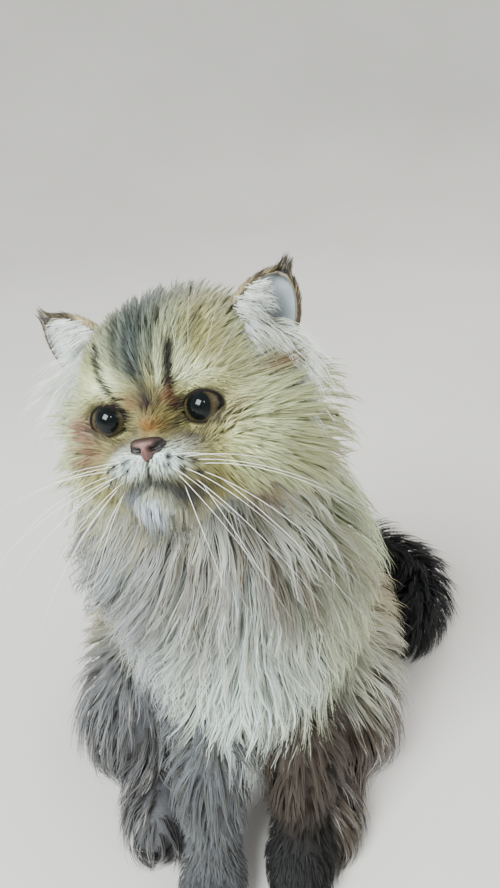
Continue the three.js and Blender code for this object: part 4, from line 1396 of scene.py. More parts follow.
def hang_free(guides, lengths, at):
    """Lets the beard hang off the throat, and the nape's hair bridge the fold behind the head."""
    share = np.linspace(0, 1, guides.shape[1])
    way = np.where((beard > nape)[at, None], BEARD_WAY, NAPE_WAY)
    way[:, 0] += 0.012 * draw_local[at, 0]
    hang = guides[:, :1] + way[:, None] * (lengths[:, None] * share)[..., None]
    free = np.clip(1.4 * beard[at] + 2 * nape[at], 0, 1)[:, None, None] * share[:, None] ** 0.5
    return guides + (hang - guides) * free


for number, (kind, look) in enumerate(KINDS.items()):
    at = np.where(kept & (kinds == number))[0]
    lengths = hair_length[at] * (0.85 + 0.3 * coat_rng.random(len(at)))
    turn = 0.28 * slow_wave(draws[at], 24, 1.0) + 0.22 * slow_wave(draws[at], 60, 4.0)
    turn = turn * TURN_SHARE[kind] + LOOSE_TURN[kind] * coat_rng.normal(size=len(at))
    guides, normals = grow(draws[at], lengths, look["rings"], tops_at(at), turn)
    guides[..., 2] -= look["droop"] * lengths[:, None] * np.linspace(0, 1, guides.shape[1]) ** 2
    guides = hang_free(guides, lengths, at)
    keep_grown(guides, normals, lengths, look, at, ROUND)
    if "core" in look:
        core = look | {"strands": look["cores"], "rings": look["core_rings"], "width": look["core"],
                       "radius": 0.6 * look["radius"], "frizz": 0.1, "uneven": 0.15}
        keep_grown(guides - look["under"] * normals, normals, lengths * 0.95, core, at, FLAT)

# %% [markdown]
# ## Strands into pieces
#
# Each region becomes one piece, or two where its faces pass the limit of one. Every strand has a
# patch of its own on the unwrap, at its root's place, so that colours carried in a texture fit it.

# %% Turning strands into pieces
TUFT_PATCH = 0.003
MOST_FACES = 185000
BATCH = 600
STREAK_SPREAD = 977
pieces_of_coat = []


def spike_values(batch):
    """A batch as arrays: points, faces, ways out, share along, place across, colours, unwrap."""
    flat, lines, out, widths, colour, root_uv = batch
    points, faces, pattern, patch, ways_out = spikes(lines, out, widths, flat)
    # millimetres across the strand, from a start of its own, so that no two have the same streaks
    begin = root_uv.sum(axis=1) * STREAK_SPREAD
    across = (begin[:, None] + widths[:, None] * patch[None, :, 0]).ravel()
    rings = np.concatenate([np.repeat(colour[:, :-1], 3, axis=1), colour[:, -1:]], axis=1)
    uv = root_uv[:, None] + (patch[pattern.ravel()] - 0.5)[None] * TUFT_PATCH
    return (points, faces, ways_out, np.tile(patch[:, 1], len(lines)), across, rings.reshape(-1, 3),
            uv.reshape(-1, 2))


def coat_piece(name, batches, material, slot):
    """One mesh of strands. Each batch is (flatness, lines, out, widths, colours, root uv)."""
    points, faces, normals, shares, across, colours, uvs = zip(*map(spike_values, batches))
    starts = np.cumsum([0] + [len(made) for made in points])
    triangles = np.vstack([some + start for some, start in zip(faces, starts)])
    obj = piece_from(name, np.vstack(points), triangles,
                     {"strand_share": np.concatenate(shares), "strand_across": np.concatenate(across),
                      "fur_colour": np.vstack(colours)}, np.vstack(uvs))
    obj.data.normals_split_custom_set_from_vertices(np.vstack(normals))
    obj.data.materials.append(material)
    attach(obj, "root")
    pieces_of_coat.append(obj)
    return len(obj.data.polygons)


# %% Piece by piece
FINISH = {region: (long_fur, "coat") for region in REGIONS}
FINISH |= {"legs": (short_fur, "leg_fur"), "paws": (dark_fur, "paw_fur"), "tail": (dark_fur, "tail_fur")}
total_faces = 0
for region in REGIONS:
    material, slot = FINISH[region]
    batches, faces, number = [], 0, 1
    queue = [(flat, *(values[i:i + BATCH] for values in rest))
             for flat, *rest in grown[region] for i in range(0, len(rest[0]), BATCH)]
    for item in queue:
        count, rings = item[1].shape[:2]
        more = count * len(spike_pattern(rings))
        if faces + more > MOST_FACES:
            total_faces += coat_piece(f"coat_{region}_{number}", batches, material, slot)
            batches, faces, number = [], 0, number + 1
        batches.append(item)
        faces += more
    total_faces += coat_piece(f"coat_{region}_{number}", batches, material, slot)
print("coat:", total_faces, "triangles in", len(pieces_of_coat), "pieces")

# %% [markdown]
# ## Ears
#
# A cat's ear is a cupped leaf of thin skin. It is a sheet of its own, with an outer and an inner
# face, and its hair comes in five kinds: short gold hair on the back, a fringe on the rims, a dark
# tuft at the tip, long white furnishings in the cup, and longer ones that sweep out past the outer
# rim from the ear's foot.

# %% The ear's leaf
EAR_BASE, EAR_TIP = np.array([40, 3, 29]), np.array([62, -7, 59])
EAR_WIDTH, EAR_CUP, EAR_THICKNESS = 35, 13, 1.3
TIP_SHARE = 0.985  # where the leaf's narrowing stops, so that its tip has some width


def ear_axes(side):
    """An ear's base, its way up, the way its cup faces, the way to its outer rim, and its height."""
    base, tip = EAR_BASE * (side, 1, 1), EAR_TIP * (side, 1, 1)
    height = np.linalg.norm(tip - base)
    up = (tip - base) / height
    facing = np.array([side * 0.35, -1, -0.1])
    facing = unit(facing - up * (facing @ up))
    return base, up, facing, np.cross(up, facing) * side, height


def on_ear(side, share, turn, inset):
    """Points of the ear, in the head's frame, from base to tip and from the inner to the outer rim."""
    base, up, facing, outer, height = ear_axes(side)
    share, turn = np.broadcast_arrays(np.asarray(share, float), turn)
    inside = np.clip(share, 0, TIP_SHARE)
    narrowing = (1 - inside ** 2.4) ** 0.6
    width = np.maximum((EAR_WIDTH / 2 - inset) * narrowing, 1.0)
    cup = np.maximum((EAR_CUP - inset) * narrowing, 0.6) * (1 - 0.25 * inside)
    return (base + up * (share * (height - inset))[..., None] + outer * (width * np.sin(turn))[..., None]
            + facing * (inset * 0.2 - cup * np.cos(turn))[..., None])


def sheet(outer, inner):
    """A closed sheet between two grids of points: its points and triangles."""
    rows, columns = outer.shape[:2]
    points = np.vstack([outer.reshape(-1, 3), inner.reshape(-1, 3)])
    number = np.arange(rows * columns).reshape(rows, columns)
    a, b, c, d = (number[:-1, :-1], number[:-1, 1:], number[1:, 1:], number[1:, :-1])
    quads = np.stack([a, b, c, d], axis=-1).reshape(-1, 4)
    rim = np.concatenate([number[0, :-1], number[:-1, -1], number[-1, :0:-1], number[:0:-1, 0]])
    following = np.roll(rim, -1)
    back = quads[:, ::-1] + rows * columns
    walls = np.stack([rim, rim + rows * columns, following + rows * columns, following], axis=-1)
    quads = np.vstack([quads, back, walls])
    return points, np.vstack([quads[:, :3], quads[:, [0, 2, 3]]])


def face_outwards(obj):
    """Turns every face of a closed mesh to the outside."""
    bm = bmesh.new()
    bm.from_mesh(obj.data)
    bmesh.ops.recalc_face_normals(bm, faces=bm.faces)
    bm.to_mesh(obj.data)
    bm.free()


# %% The two ears
EAR_FOOT = -0.45  # the leaf starts below the skin, at this share of its height
ear_shares = np.concatenate([np.linspace(EAR_FOOT, 0.9, 24), [0.94, 0.97, TIP_SHARE]])
ear_turns = np.linspace(-math.pi / 2, math.pi / 2, 25)
grid_share, grid_turn = np.meshgrid(ear_shares, ear_turns, indexing="ij")
ear_finish, ear_tree, ear_shader = painted(
    "ear_skin", "fur_colour", 0.6, 160, 5, (0.86, 0.80, 0.80), (0.35, 0.65))
bumped(ear_tree, ear_shader, noise(ear_tree, 900, 4), 0.35, 0.0003)


def ear_paint(share, turn):
    """The skin of an ear: sandy behind, pale inside, pinkish deep in the cup, dark at the edge."""
    back = np.tile(paint(138, 126, 98), (share.size, 1))
    inside = np.tile(paint(166, 180, 186), (share.size, 1))
    deep = np.exp(-(turn / 0.8) ** 2) * (1 - smooth_step(share, 0.1, 0.7))
    inside = mixed(inside, paint(140, 132, 132), 0.7 * deep)
    at_rim = np.exp(-((np.abs(turn) - math.pi / 2) / 0.07) ** 2)
    edge = np.clip(at_rim + smooth_step(share, 0.9, 0.98), 0, 1)
    return np.vstack([back, mixed(inside, paint(66, 54, 44), 0.8 * edge)])


for name, side in SIDES.items():
    points, triangles = sheet(*(on_ear(side, grid_share, grid_turn, inset) for inset in (0, EAR_THICKNESS)))
    ear = piece_from(f"ear_{name}_skin", on_head(points), triangles,
                     {"fur_colour": ear_paint(grid_share.ravel(), grid_turn.ravel())})
    face_outwards(ear)
    ear.data.materials.append(ear_finish)
    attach(ear, "root")
    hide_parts(f"ear_{name}")
print("ear grid:", grid_share.shape)

# %% Lines of hair on an ear
EAR_HAIR = {
    "outside": {"strands": 2, "rings": 3, "width": 0.42, "radius": 1.0, "clump": 0.4, "wave": 0.4,
                "wavelength": 14, "frizz": 0.2, "loose": 0.4, "sink": 0.3, "uneven": 0.3},
    "inside": {"strands": 6, "rings": 6, "width": 0.36, "radius": 2.6, "clump": 0.6, "wave": 1.6,
               "wavelength": 30, "frizz": 0.9, "loose": 1.6, "sink": 0.3, "uneven": 0.45},
}


def outside_guides(side, share, turn, lengths, steps):
    """Lines that run up the back of an ear and rise from it, in the head's frame, with the way out."""
    height = ear_axes(side)[4]
    line = [on_ear(side, share + lengths * t / height, turn * (1 - 0.15 * t), -0.3 - 2.4 * t)
            for t in np.arange(steps + 1) / steps]
    away = on_ear(side, share, turn, -1) - on_ear(side, share, turn, 0)
    return np.stack(line, axis=1), np.repeat(unit(away)[:, None], steps + 1, axis=1)


def inside_guides(side, share, turn, lengths, steps, random):
    """Lines that sweep out of the cup to its outer side, arch forward and then fall a little."""
    _, up, facing, _, _ = ear_axes(side)
    root = on_ear(side, share, turn, EAR_THICKNESS)
    rising = 1.2 * share - 0.6 + 0.2 * random.normal(size=len(share))
    along = unit(np.array([side * 1.0, -0.35, 0]) + np.array([0, 0, 1.0]) * rising[:, None]
                 + facing * (0.3 + 0.15 * random.normal(size=len(share)))[:, None])
    line = [root + along * (lengths * t)[:, None] + facing * (5 * math.sin(2.2 * t))
            - up * (lengths * 0.28 * t * t)[:, None] for t in np.arange(steps + 1) / steps]
    return np.stack(line, axis=1), np.broadcast_to(facing, (len(share), steps + 1, 3))


print("kinds of ear hair:", ", ".join(EAR_HAIR))

# %% Roots of the ears' hair
# Kind: how many, colour, and the share of dark tips.
EAR_COATS = {"back": (900, paint(178, 168, 132), 0.5), "rim": (300, paint(176, 162, 124), 0.5),
             "tip": (190, paint(56, 44, 34), 1.0), "inside": (180, paint(236, 244, 242), 0.0),
             "sweep": (140, paint(240, 246, 240), 0.0)}
HALF_ROUND = 1.57


def ear_roots(kind, count, random):
    """Share of the height, turn round the cup and length of the hair, for one kind."""
    if kind == "back":
        share, turn = random.uniform(-0.35, 0.95, count), random.uniform(-HALF_ROUND, HALF_ROUND, count)
        lengths = random.uniform(6, 10, count) * (1 - 0.55 * smooth_step(np.abs(turn), 0.9, 1.4))
    elif kind == "rim":
        share = random.uniform(-0.1, 0.96, count)
        turn = np.sign(random.normal(size=count)) * random.uniform(1.45, 1.6, count)
        lengths = random.uniform(2.5, 5, count)
    elif kind == "tip":
        share, turn = random.uniform(0.72, 0.97, count), random.uniform(-HALF_ROUND, HALF_ROUND, count)
        lengths = random.uniform(4, 9, count)
    elif kind == "inside":
        share = -0.2 + 0.95 * random.random(count) ** 1.2
        turn = random.uniform(-1.5, -0.6, count)
        lengths = (40 - 30 * np.clip(share, 0, 1)) * random.uniform(0.6, 1.05, count)
    else:
        share, turn = random.uniform(-0.3, 0.3, count), random.uniform(-1.0, 1.4, count)
        lengths = random.uniform(30, 52, count)
    return share, turn, lengths


# %% Hair of the ears
ear_rng = np.random.default_rng(29)


def ear_batch(kind, side):
    """The strands of one kind on one ear, as a batch of a piece of coat."""
    count, base, tips = EAR_COATS[kind]
    share, turn, lengths = ear_roots(kind, count, ear_rng)
    if kind in ("inside", "sweep"):
        look = EAR_HAIR["inside"]
        guides, out = inside_guides(side, share, turn, lengths, look["rings"], ear_rng)
    else:
        look = EAR_HAIR["outside"]
        guides, out = outside_guides(side, share, turn, lengths, look["rings"])
    lines, out, owner = strands_from(on_head(guides), along_head(out), lengths, look, ear_rng)
    base = np.tile(base, (len(owner), 1))
    if kind in ("back", "rim"):
        tone = 0.35 * slow_wave(lines[:, 0], 3, 2.0) + 0.15 * ear_rng.normal(size=len(owner))
        base = base * (1 + tone)[:, None]
    if kind == "rim":
        near_tip = smooth_step(share[owner], 0.6, 0.8)
        base = mixed(base, paint(64, 54, 42), 0.85 * np.maximum(turn[owner] > 0, near_tip))
    colours = strand_colours(base, np.full(len(owner), tips), look["rings"], ear_rng)
    widths = look["width"] * ear_rng.uniform(0.7, 1.25, len(owner))
    across, up = (share - EAR_FOOT) / (1 - EAR_FOOT), turn / math.pi + 0.5
    uv = 0.05 + 0.9 * np.stack([across, up], axis=1)
    return ROUND, lines, out, widths, colours, uv[owner]


for name, side in SIDES.items():
    batches = [ear_batch(kind, side) for kind in EAR_COATS]
    made = coat_piece(f"ear_{name}_hair", batches, short_fur, "ear_fur")
    print(name, "ear hair:", made, "triangles")

# %% [markdown]
# ## Nose leather
#
# The nose is bare, pebbled skin in the shape of a blunt heart, with a comma-shaped nostril on each
# side and a groove down to the lip. Rays from its middle find the surface of a small field of its
# own, which gives an even grid that the nostrils can be pressed into.

# %% A grid of rays
def ray_grid(rings, columns):
    """Directions over a whole ball, with poles at left and right, as triangles of a closed grid."""
    lean = np.linspace(0, math.pi, rings + 2)[1:-1, None]
    turn = np.arange(columns)[None] / columns * FULL_TURN
    ring = np.stack([np.cos(lean) + 0 * turn, np.sin(lean) * np.cos(turn),
                     np.sin(lean) * np.sin(turn)], axis=-1)
    return np.vstack([ring.reshape(-1, 3), [(1, 0, 0)], [(-1, 0, 0)]]), globe_faces(rings, columns)


nose_flesh = flesh([
    ball(NOSE + (0, -1, 0.4), (6.6, 4.6, 2.5), 0), ball(NOSE + (4.7, -0.9, -0.9), (3.4, 4.3, 2.9), 0),
    ball(NOSE + (-4.7, -0.9, -0.9), (3.4, 4.3, 2.9), 0), ball(NOSE + (0, -1.5, -4), (2.3, 4.0, 3.8), 0)
], 1.0)
directions, nose_faces = ray_grid(62, 72)
nose_middle = NOSE + (0, 0.5, -0.8)
length = np.full(len(directions), 14.0)
for _ in range(40):
    length -= 0.7 * nose_flesh(nose_middle + directions * length[:, None])[0]
nose_points = nose_middle + directions * length[:, None]
print("the nose's width, mm:", round(float(np.ptp(nose_points[:, 0])), 1))

# %% Nostrils and groove
NOSTRIL_LINE = [(2.7, -11.6), (4.6, -11.3), (7.0, -9.9)]
NOSTRIL_DEPTH, GROOVE_DEPTH, NOSTRIL_RIM = 3.2, 0.6, 0.5
nx, ny, nz = nose_points.T
nostril = off_line(np.abs(nx), nz, NOSTRIL_LINE)
in_front = ny < NOSE[1] - 0.5
pressed = np.exp(-(nostril / (1.15 + 0.75 * smooth_step(np.abs(nx), 3, 6))) ** 2) * in_front
groove = np.exp(-(nx / 0.45) ** 2) * smooth_step(-nz, 11.5, 13) * in_front
nose_points[:, 1] += NOSTRIL_DEPTH * pressed + GROOVE_DEPTH * groove
nose_points[:, 1] -= NOSTRIL_RIM * np.exp(-((nostril - 1.9) / 0.7) ** 2) * in_front
outline = 1 - smooth_step(NOSE[1] - ny, 2.0, 4.2)
leather = np.tile(paint(94, 64, 58), (len(nx), 1))
# painted shade: the nostrils are painted near-black and the groove darker, in their hollows
for mask, colour in ((0.7 * patch_at(nx, nz, (0, -10.5), (2.6, 2.4)), paint(128, 92, 86)),
                     (0.95 * smooth_step(np.abs(nx), 3.4, 6.0), paint(46, 32, 30)),
                     (0.9 * smooth_step(nz, -9.0, -7.2), paint(42, 30, 27)),
                     (0.95 * outline, paint(48, 34, 31)),
                     (1.4 * pressed, paint(16, 10, 10)), (0.6 * groove, paint(90, 52, 48))):
    leather = mixed(leather, colour, mask)
print("points of the nostrils:", int((pressed > 0.5).sum()))

# %% Nose leather
nose = piece_from("nose_leather", on_head(nose_points), nose_faces, {"leather_colour": leather})
face_outwards(nose)
nose_finish, nose_tree, nose_shader = painted(
    "nose_leather", "leather_colour", 0.5, 500, 4, (0.82, 0.78, 0.78), (0.3, 0.7))
pebbles = add(nose_tree, "ShaderNodeTexVoronoi", Scale=1500.0)
nose_tree.links.new(add(nose_tree, "ShaderNodeTexCoord").outputs["Object"], pebbles.inputs["Vector"])
bumped(nose_tree, nose_shader, pebbles.outputs["Distance"], 0.35, 0.0004)
nose.data.materials.append(nose_finish)
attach(nose, "root")
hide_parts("nose")
print("nose:", len(nose_faces), "triangles")

# %% [markdown]
# ## Eyes and lids
#
# A cat's cornea stands out of the eyeball, its pupil is wide and round in soft light, and the iris
# is olive with a dark rim. The eyeball is one mesh whose rings run out from the pupil, and it keeps
# a map of its own for the iris. The lids' ring hugs it with a dark, damp margin.

# %% The eye's finish
eye_finish, eye_tree, eye_shader = new_material("eye")
eye_map = add(eye_tree, "ShaderNodeUVMap", uv_map="EyeMap").outputs["UV"]
centred = add(eye_tree, "ShaderNodeVectorMath", operation="MULTIPLY_ADD")
# the pupil is a little higher than it is wide
centred.inputs[1].default_value = (2.16, 1.9, 0)
centred.inputs[2].default_value = (-1.08, -0.95, 0)
eye_tree.links.new(eye_map, centred.inputs[0])
from_pupil = add(eye_tree, "ShaderNodeVectorMath", operation="LENGTH")
eye_tree.links.new(centred.outputs[0], from_pupil.inputs[0])
iris = ramp(eye_tree, from_pupil.outputs["Value"], [
    (0.0, (0.002, 0.004, 0.005)), (0.178, (0.003, 0.005, 0.005)), (0.192, (0.030, 0.024, 0.011)),
    (0.232, (0.062, 0.050, 0.025)), (0.272, (0.045, 0.034, 0.018)), (0.3, (0.008, 0.006, 0.005)),
    (0.34, (0.012, 0.008, 0.007))])
spoke = add(eye_tree, "ShaderNodeVectorMath", operation="NORMALIZE")
eye_tree.links.new(centred.outputs[0], spoke.inputs[0])
fibre = add(eye_tree, "ShaderNodeTexNoise", Scale=9.0, Detail=5.0, Roughness=0.7)
eye_tree.links.new(spoke.outputs[0], fibre.inputs["Vector"])
fibres = ramp(eye_tree, fibre.outputs["Fac"], [(0.3, grey(0.55)), (0.7, grey(1.0))])
eye_tree.links.new(multiplied(eye_tree, iris, fibres), eye_shader.inputs["Base Color"])
for socket, value in (("Roughness", 0.12), ("IOR", 1.38), ("Specular IOR Level", 0.06),
                      ("Coat Weight", 0.6), ("Coat IOR", 1.36), ("Coat Roughness", 0.02)):
    eye_shader.inputs[socket].default_value = value
print("the eye's nodes:", len(eye_tree.nodes))

# %% Eyeballs
EYE_RINGS, EYE_TURNS = 46, 72
CORNEA_RADIUS, CORNEA_FRONT = 8.4, 11.7
GAZE = {"left": (-5.0, 1.0), "right": (4.0, 2.0)}  # degrees that each eye turns to its left, and up
angles = np.linspace(0, math.pi, EYE_RINGS + 2)[1:-1, None]
turns = np.arange(EYE_TURNS)[None] / EYE_TURNS * FULL_TURN
bulge = CORNEA_FRONT - CORNEA_RADIUS
under_root = np.maximum(CORNEA_RADIUS ** 2 - (bulge * np.sin(angles)) ** 2, 0)
radius = np.maximum(EYE_RADIUS, bulge * np.cos(angles) + np.sqrt(under_root))
ring = np.stack([radius * np.sin(angles) * np.cos(turns), -radius * np.cos(angles) + 0 * turns,
                 radius * np.sin(angles) * np.sin(turns)], axis=-1).reshape(-1, 3)
ball_points = np.vstack([ring, [(0, -CORNEA_FRONT, 0)], [(0, EYE_RADIUS, 0)]])
ball_faces = globe_faces(EYE_RINGS, EYE_TURNS)
flat_map = np.concatenate([
    (angles / math.pi * np.stack([np.cos(turns), np.sin(turns)])).reshape(2, -1).T, [(0, 0)], [(1, 0)]])
for name, side in SIDES.items():
    aside, raised = (math.radians(a) for a in GAZE[name])
    looking = ball_points @ (turned(2, aside) @ turned(0, -raised)).T
    eye = piece_from(f"eye_{name}_ball", on_head(looking + EYE * (side, 1, 1)), ball_faces)
    layer = eye.data.uv_layers.new(name="EyeMap")
    layer.uv.foreach_set("vector", ((flat_map + 1) / 2)[ball_faces.ravel()].astype(np.float32).ravel())
    face_outwards(eye)
    eye.data.materials.append(eye_finish)
    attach(eye, "root")
    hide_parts(f"eye_{name}")
print("eyeball:", len(ball_faces), "triangles")

# %% Lids
# Steps of the lids' section: radians beyond the opening, and millimetres from the eyeball.
LID_SECTION = [(-0.03, -0.6), (-0.012, 0.06), (0.008, 0.26), (0.04, 0.42), (0.08, 0.58),
               (0.13, 0.66), (0.19, 0.55), (0.26, 0.1), (0.34, -0.9), (0.2, -1.4)]
LID_TURNS = 96
lid_turns = np.arange(LID_TURNS) / LID_TURNS * FULL_TURN
lid_finish, lid_tree, lid_shader = painted(
    "lids", "lid_colour", 0.75, 800, 3.0, grey(0.75), (0.35, 0.65))
lid_shader.inputs["Specular IOR Level"].default_value = 0.12
bumped(lid_tree, lid_shader, noise(lid_tree, 1500), 0.3, 0.0002)
number = np.arange(len(LID_SECTION) * LID_TURNS).reshape(len(LID_SECTION), LID_TURNS)
following = np.roll(number, -1, axis=1)
lid_faces = halved(number, following, np.roll(following, -1, axis=0), np.roll(number, -1, axis=0))
beyond = np.repeat([step[0] for step in LID_SECTION], LID_TURNS)
# the dark margin is the lid's own dark edge; it is broad above the eye, where it is partly painted shade
# under the upper lid, and thin below it
margin = 0.03 + 0.07 * np.clip(np.sin(np.tile(lid_turns, len(LID_SECTION))) + 0.3, 0, 1)
dark_edge_and_shade = np.tile(paint(20, 15, 13), (len(beyond), 1))


def lid_rows(side):
    """The lids' points in the head's frame, one row for each step of their section."""
    rows = []
    for past, height in LID_SECTION:
        angle = opening(lid_turns, side) + past
        r = EYE_RADIUS + height
        rows.append(np.stack([r * np.sin(angle) * np.cos(lid_turns), -r * np.cos(angle),
                              r * np.sin(angle) * np.sin(lid_turns)], axis=-1))
    return (np.stack(rows) * (side, 1, 1) + EYE * (side, 1, 1)).reshape(-1, 3)


for name, side in SIDES.items():
    local = lid_rows(side)
    colours = mixed(dark_edge_and_shade, face_marks(local).colour * 0.85, smooth_step(beyond - margin, 0, 0.07))
    lids = piece_from(f"lids_{name}", on_head(local), lid_faces, {"lid_colour": colours})
    face_outwards(lids)
    lids.data.materials.append(lid_finish)
    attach(lids, "root")
print("lids:", len(lid_faces), "triangles each")

# %% [markdown]
# ## Whiskers
#
# Whiskers are what Geometry Nodes do best: one thin section that follows many paths. Python lays
# out the paths from a few rules, four rows of roots on each pad with longer hairs further back, and
# the nodes turn each path into a tapered tube.

# %% The whiskers' paths
# Of each whisker: root across and up on the pad, way out (across, forward, up), length and droop.
WHISKERS = [
    ((10, -15.5), (1.0, 0.9, 0.10), 46, 8), ((15.5, -17), (1.0, 0.55, 0.06), 58, 14),
    ((20, -19), (1.0, 0.30, 0.02), 68, 22), ((9.5, -19.5), (1.0, 1.0, -0.35), 52, 14),
    ((15.5, -21.5), (1.0, 0.6, -0.35), 72, 26), ((20.5, -24), (1.0, 0.35, -0.40), 84, 36),
    ((12, -23.5), (0.9, 0.8, -0.7), 62, 20), ((17, -26), (0.9, 0.45, -0.75), 78, 26),
    ((21, -21), (1.0, 0.2, -0.15), 88, 40), ((13, -27), (0.6, 0.7, -1.0), 55, 14),
    ((18, -29), (0.7, 0.4, -1.1), 62, 16), ((22.5, -27), (0.9, 0.25, -0.65), 80, 30),
]
BROW_HAIRS = [((16, 22), (0.15, 0.6, 1.0), 26, -4), ((20, 23), (0.35, 0.5, 1.0), 32, -6),
              ((25, 22), (0.6, 0.4, 1.0), 30, -6), ((29, 20), (0.9, 0.4, 0.9), 26, -4)]
WHISKER_POINTS = 16
WHISKER_THICKNESS, BROW_THICKNESS = 0.15, 0.08
BACKWARD_BEND = 0.22
whisker_rng = np.random.default_rng(41)


def on_coat(across, up):
    """The point of the head's skin in front of a place on the face's plane."""
    depth = -62.0
    for _ in range(40):
        point = on_head(np.array([[across, depth, up]]))
        distance, coat, _ = parts["head"](point)
        depth += 0.6 * (distance[0] - SKIN_SHARE * coat[0])
    return np.array([across, depth, up])


paths, radii = [], []
for rows, thickness in ((WHISKERS, WHISKER_THICKNESS), (BROW_HAIRS, BROW_THICKNESS)):
    for side in SIDES.values():
        for (across, up), way, length, droop in rows:
            root = on_coat(across * side, up) + (0, 0.6, 0)
            way = unit(np.array(way) * (side, -1, 1) + whisker_rng.normal(size=3) * 0.07)
            length = length * whisker_rng.uniform(0.88, 1.08)
            t = np.linspace(0, 1, WHISKER_POINTS)[:, None]
            path = on_head(root + way * (length * t))
            path[:, 2] -= (droop * t ** 2)[:, 0]
            path += along_head([0, 1, 0]) * (length * BACKWARD_BEND * t ** 2)
            paths.append(path)
            radii.append(thickness * (1 - 0.9 * t[:, 0] ** 1.2))
whisker_lines = bpy.data.meshes.new("whisker_paths")
steps = np.arange(len(paths) * WHISKER_POINTS).reshape(len(paths), WHISKER_POINTS)
edges = np.stack([steps[:, :-1], steps[:, 1:]], axis=-1).reshape(-1, 2)
whisker_lines.from_pydata((np.vstack(paths) * METRES).tolist(), edges.tolist(), [])
keep_values(whisker_lines, "thickness", np.concatenate(radii) * METRES)
print("whiskers and brow hairs:", len(paths))

# %% The whiskers' nodes
whisker_finish, whisker_tree, whisker_shader = new_material("whisker")
sheen = ramp(whisker_tree, noise(whisker_tree, 300), [(0.3, (0.80, 0.80, 0.76)), (0.7, (0.93, 0.93, 0.90))])
whisker_tree.links.new(sheen, whisker_shader.inputs["Base Color"])
whisker_shader.inputs["Roughness"].default_value = 0.35
tree = bpy.data.node_groups.new("whiskers_along_paths", "GeometryNodeTree")
face = tree.interface
face.new_socket("Geometry", in_out="INPUT", socket_type="NodeSocketGeometry")
sides_input = face.new_socket("Sides", in_out="INPUT", socket_type="NodeSocketInt")
girth_input = face.new_socket("Girth", in_out="INPUT", socket_type="NodeSocketFloat")
face.new_socket("Geometry", in_out="OUTPUT", socket_type="NodeSocketGeometry")
entry, leave = add(tree, "NodeGroupInput"), add(tree, "NodeGroupOutput")
to_curve = add(tree, "GeometryNodeMeshToCurve")
thickness = add(tree, "GeometryNodeInputNamedAttribute", data_type="FLOAT", Name="thickness")
set_radius = add(tree, "GeometryNodeSetCurveRadius")
circle = add(tree, "GeometryNodeCurvePrimitiveCircle")
tube = add(tree, "GeometryNodeCurveToMesh", **{"Fill Caps": True})
realize = add(tree, "GeometryNodeRealizeInstances")
set_material = add(tree, "GeometryNodeSetMaterial", Material=whisker_finish)
for start, output, end, socket in ((entry, "Geometry", to_curve, "Mesh"),
                                   (to_curve, "Curve", set_radius, "Curve"),
                                   (thickness, "Attribute", set_radius, "Radius"),
                                   (entry, "Sides", circle, "Resolution"),
                                   (entry, "Girth", circle, "Radius"),
                                   (set_radius, "Curve", tube, "Curve"),
                                   (circle, "Curve", tube, "Profile Curve"),
                                   (thickness, "Attribute", tube, "Scale"),
                                   (tube, "Mesh", realize, "Geometry"),
                                   (realize, "Geometry", set_material, "Geometry"),
                                   (set_material, "Geometry", leave, "Geometry")):
    tree.links.new(start.outputs[output], end.inputs[socket])
print("nodes of the whiskers:", len(tree.nodes))

# %% The whiskers' mesh
path_object = put_in_scene("whisker_paths", whisker_lines)
modifier = path_object.modifiers.new("Whiskers", "NODES")
modifier.node_group = tree
modifier[sides_input.identifier] = 6
modifier[girth_input.identifier] = 1.0
evaluated = path_object.evaluated_get(bpy.context.evaluated_depsgraph_get())
whisker_mesh = bpy.data.meshes.new_from_object(evaluated)
bpy.data.objects.remove(path_object)
whiskers = put_in_scene("whiskers", whisker_mesh)
whisker_mesh.shade_smooth()
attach(whiskers, "root")
print("whiskers:", len(whisker_mesh.polygons), "faces")

# %% [markdown]
# ## What stands for what
#
# The skin stands for every node of flesh, which the physics keeps for collision. Eyes, ears and
# nose stand for their own nodes.

# %% The skin takes the place of the flesh
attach(skin, "root")
flesh_nodes = ["head", "neck", "torso", "tail_root", "tail_middle", "tail_tip"]
flesh_nodes += [f"{kind}_{name}" for kind in ("hind_leg", "hind_paw", "front_leg", "front_paw")
                for name in SIDES]
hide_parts(*flesh_nodes)
print("replaced:", len(flesh_nodes), "nodes")

# %% [markdown]
# ## Floor, light and camera
#
# A museum shows a model on a plain pale floor in soft light. The camera stands where the photo was
# taken: close, above the cat and looking down at it.

# %% Floor
FLOOR_RADIUS, COVE_RADIUS, WALL_TOP, FLOOR_SIDES = 1.5, 1.5, 1.9, 96
sweep = [(r, 0.0) for r in (0.5, 1.2, FLOOR_RADIUS)]
sweep += [(FLOOR_RADIUS + COVE_RADIUS * math.sin(a), COVE_RADIUS - COVE_RADIUS * math.cos(a))
          for a in np.linspace(0.1, math.pi / 2, 16)]
sweep.append((FLOOR_RADIUS + COVE_RADIUS, WALL_TOP))
floor_turns = np.arange(FLOOR_SIDES) / FLOOR_SIDES * FULL_TURN
corners = [(0.0, 0.0, 0.0)] + [(r * math.cos(a), r * math.sin(a), z) for r, z in sweep for a in floor_turns]
number = 1 + np.arange(len(sweep) * FLOOR_SIDES).reshape(len(sweep), FLOOR_SIDES)
following = np.roll(number, -1, axis=1)
quads = np.stack([number[1:], following[1:], following[:-1], number[:-1]], axis=-1).reshape(-1, 4)
floor_faces = [(0, int(a), int(b)) for a, b in zip(number[0], following[0])] + quads.tolist()
floor_mesh = bpy.data.meshes.new("floor")
floor_mesh.from_pydata(corners, [], floor_faces)
floor_mesh.shade_smooth()
floor = put_in_scene("floor", floor_mesh)
floor_finish, floor_tree, floor_shader = new_material("pale_floor")
cloud = ramp(floor_tree, noise(floor_tree, 2.5), [(0.3, (0.60, 0.58, 0.55)), (0.7, (0.64, 0.62, 0.59))])
floor_tree.links.new(cloud, floor_shader.inputs["Base Color"])
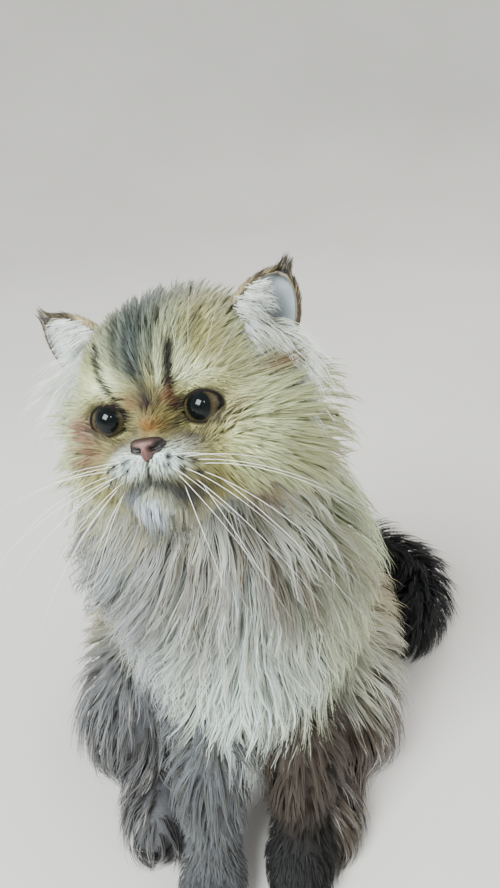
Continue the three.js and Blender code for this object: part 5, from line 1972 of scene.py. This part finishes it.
floor_shader.inputs["Roughness"].default_value = 0.8
floor_mesh.materials.append(floor_finish)
floor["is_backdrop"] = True
print("floor:", len(floor_faces), "faces")


# %% Light
def turned_to(obj, place, target):
    """Puts an object at a place, so that it looks at a target."""
    obj.location = place
    obj.rotation_euler = (Vector(target) - Vector(place)).to_track_quat("-Z", "Y").to_euler()


CAT, FACE = (0, -0.1, 0.25), (-0.03, -0.17, 0.34)
for name, place, target, size, power, colour in (
        ("broad", (-1.1, -1.3, 1.6), CAT, 1.0, 112, (0.94, 1.0, 0.99)),
        ("fill", (1.6, -0.5, 1.3), CAT, 1.6, 22, (1.0, 0.99, 0.94)),
        ("behind", (0.6, 1.4, 1.5), CAT, 1.0, 18, (1.0, 0.98, 0.95)),
        ("spark", (0.05, -1.2, 1.5), FACE, 0.12, 3, (1.0, 1.0, 1.0))):
    lamp = bpy.data.lights.new(name, "AREA")
    lamp.size, lamp.energy, lamp.color = size, power, colour
    turned_to(put_in_scene(name, lamp), place, target)
world = bpy.data.worlds.new("pale_room")
world.use_nodes = True
world.node_tree.nodes["Background"].inputs["Color"].default_value = (0.86, 0.88, 0.9, 1)
world.node_tree.nodes["Background"].inputs["Strength"].default_value = 0.78
bpy.context.scene.world = world
print("lights:", len(bpy.data.lights))

# %% Camera
FOCAL_PIXELS, LONG_SIDE_PIXELS, SENSOR = 658, 888, 36
DEGREES_DOWN = 31
camera = bpy.data.cameras.new("camera")
camera.sensor_width = SENSOR
camera.lens = FOCAL_PIXELS / LONG_SIDE_PIXELS * SENSOR
camera.clip_start = 0.02
camera_object = put_in_scene("camera", camera)
camera_object.location = (0.0055, -0.434, 0.490)
camera_object.rotation_euler = (math.radians(90 - DEGREES_DOWN), 0, 0)
bpy.context.scene.camera = camera_object
print("lens:", round(camera.lens, 2), "mm")

# %% [markdown]
# ## Size
#
# The boxes of the CAD model and of the visual model are printed side by side. The visual model has to stay
# inside the CAD model's box, but for a little loose hair.

# %% Sizes and the end
sizes = {"cad": [list(corner) for corner in cad_box], "visual": [list(corner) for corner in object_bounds()]}
for low_high, cad, shown in zip(("lowest", "highest"), sizes["cad"], sizes["visual"]):
    print(low_high, "CAD", np.round(cad, 3), "visual", np.round(shown, 3))
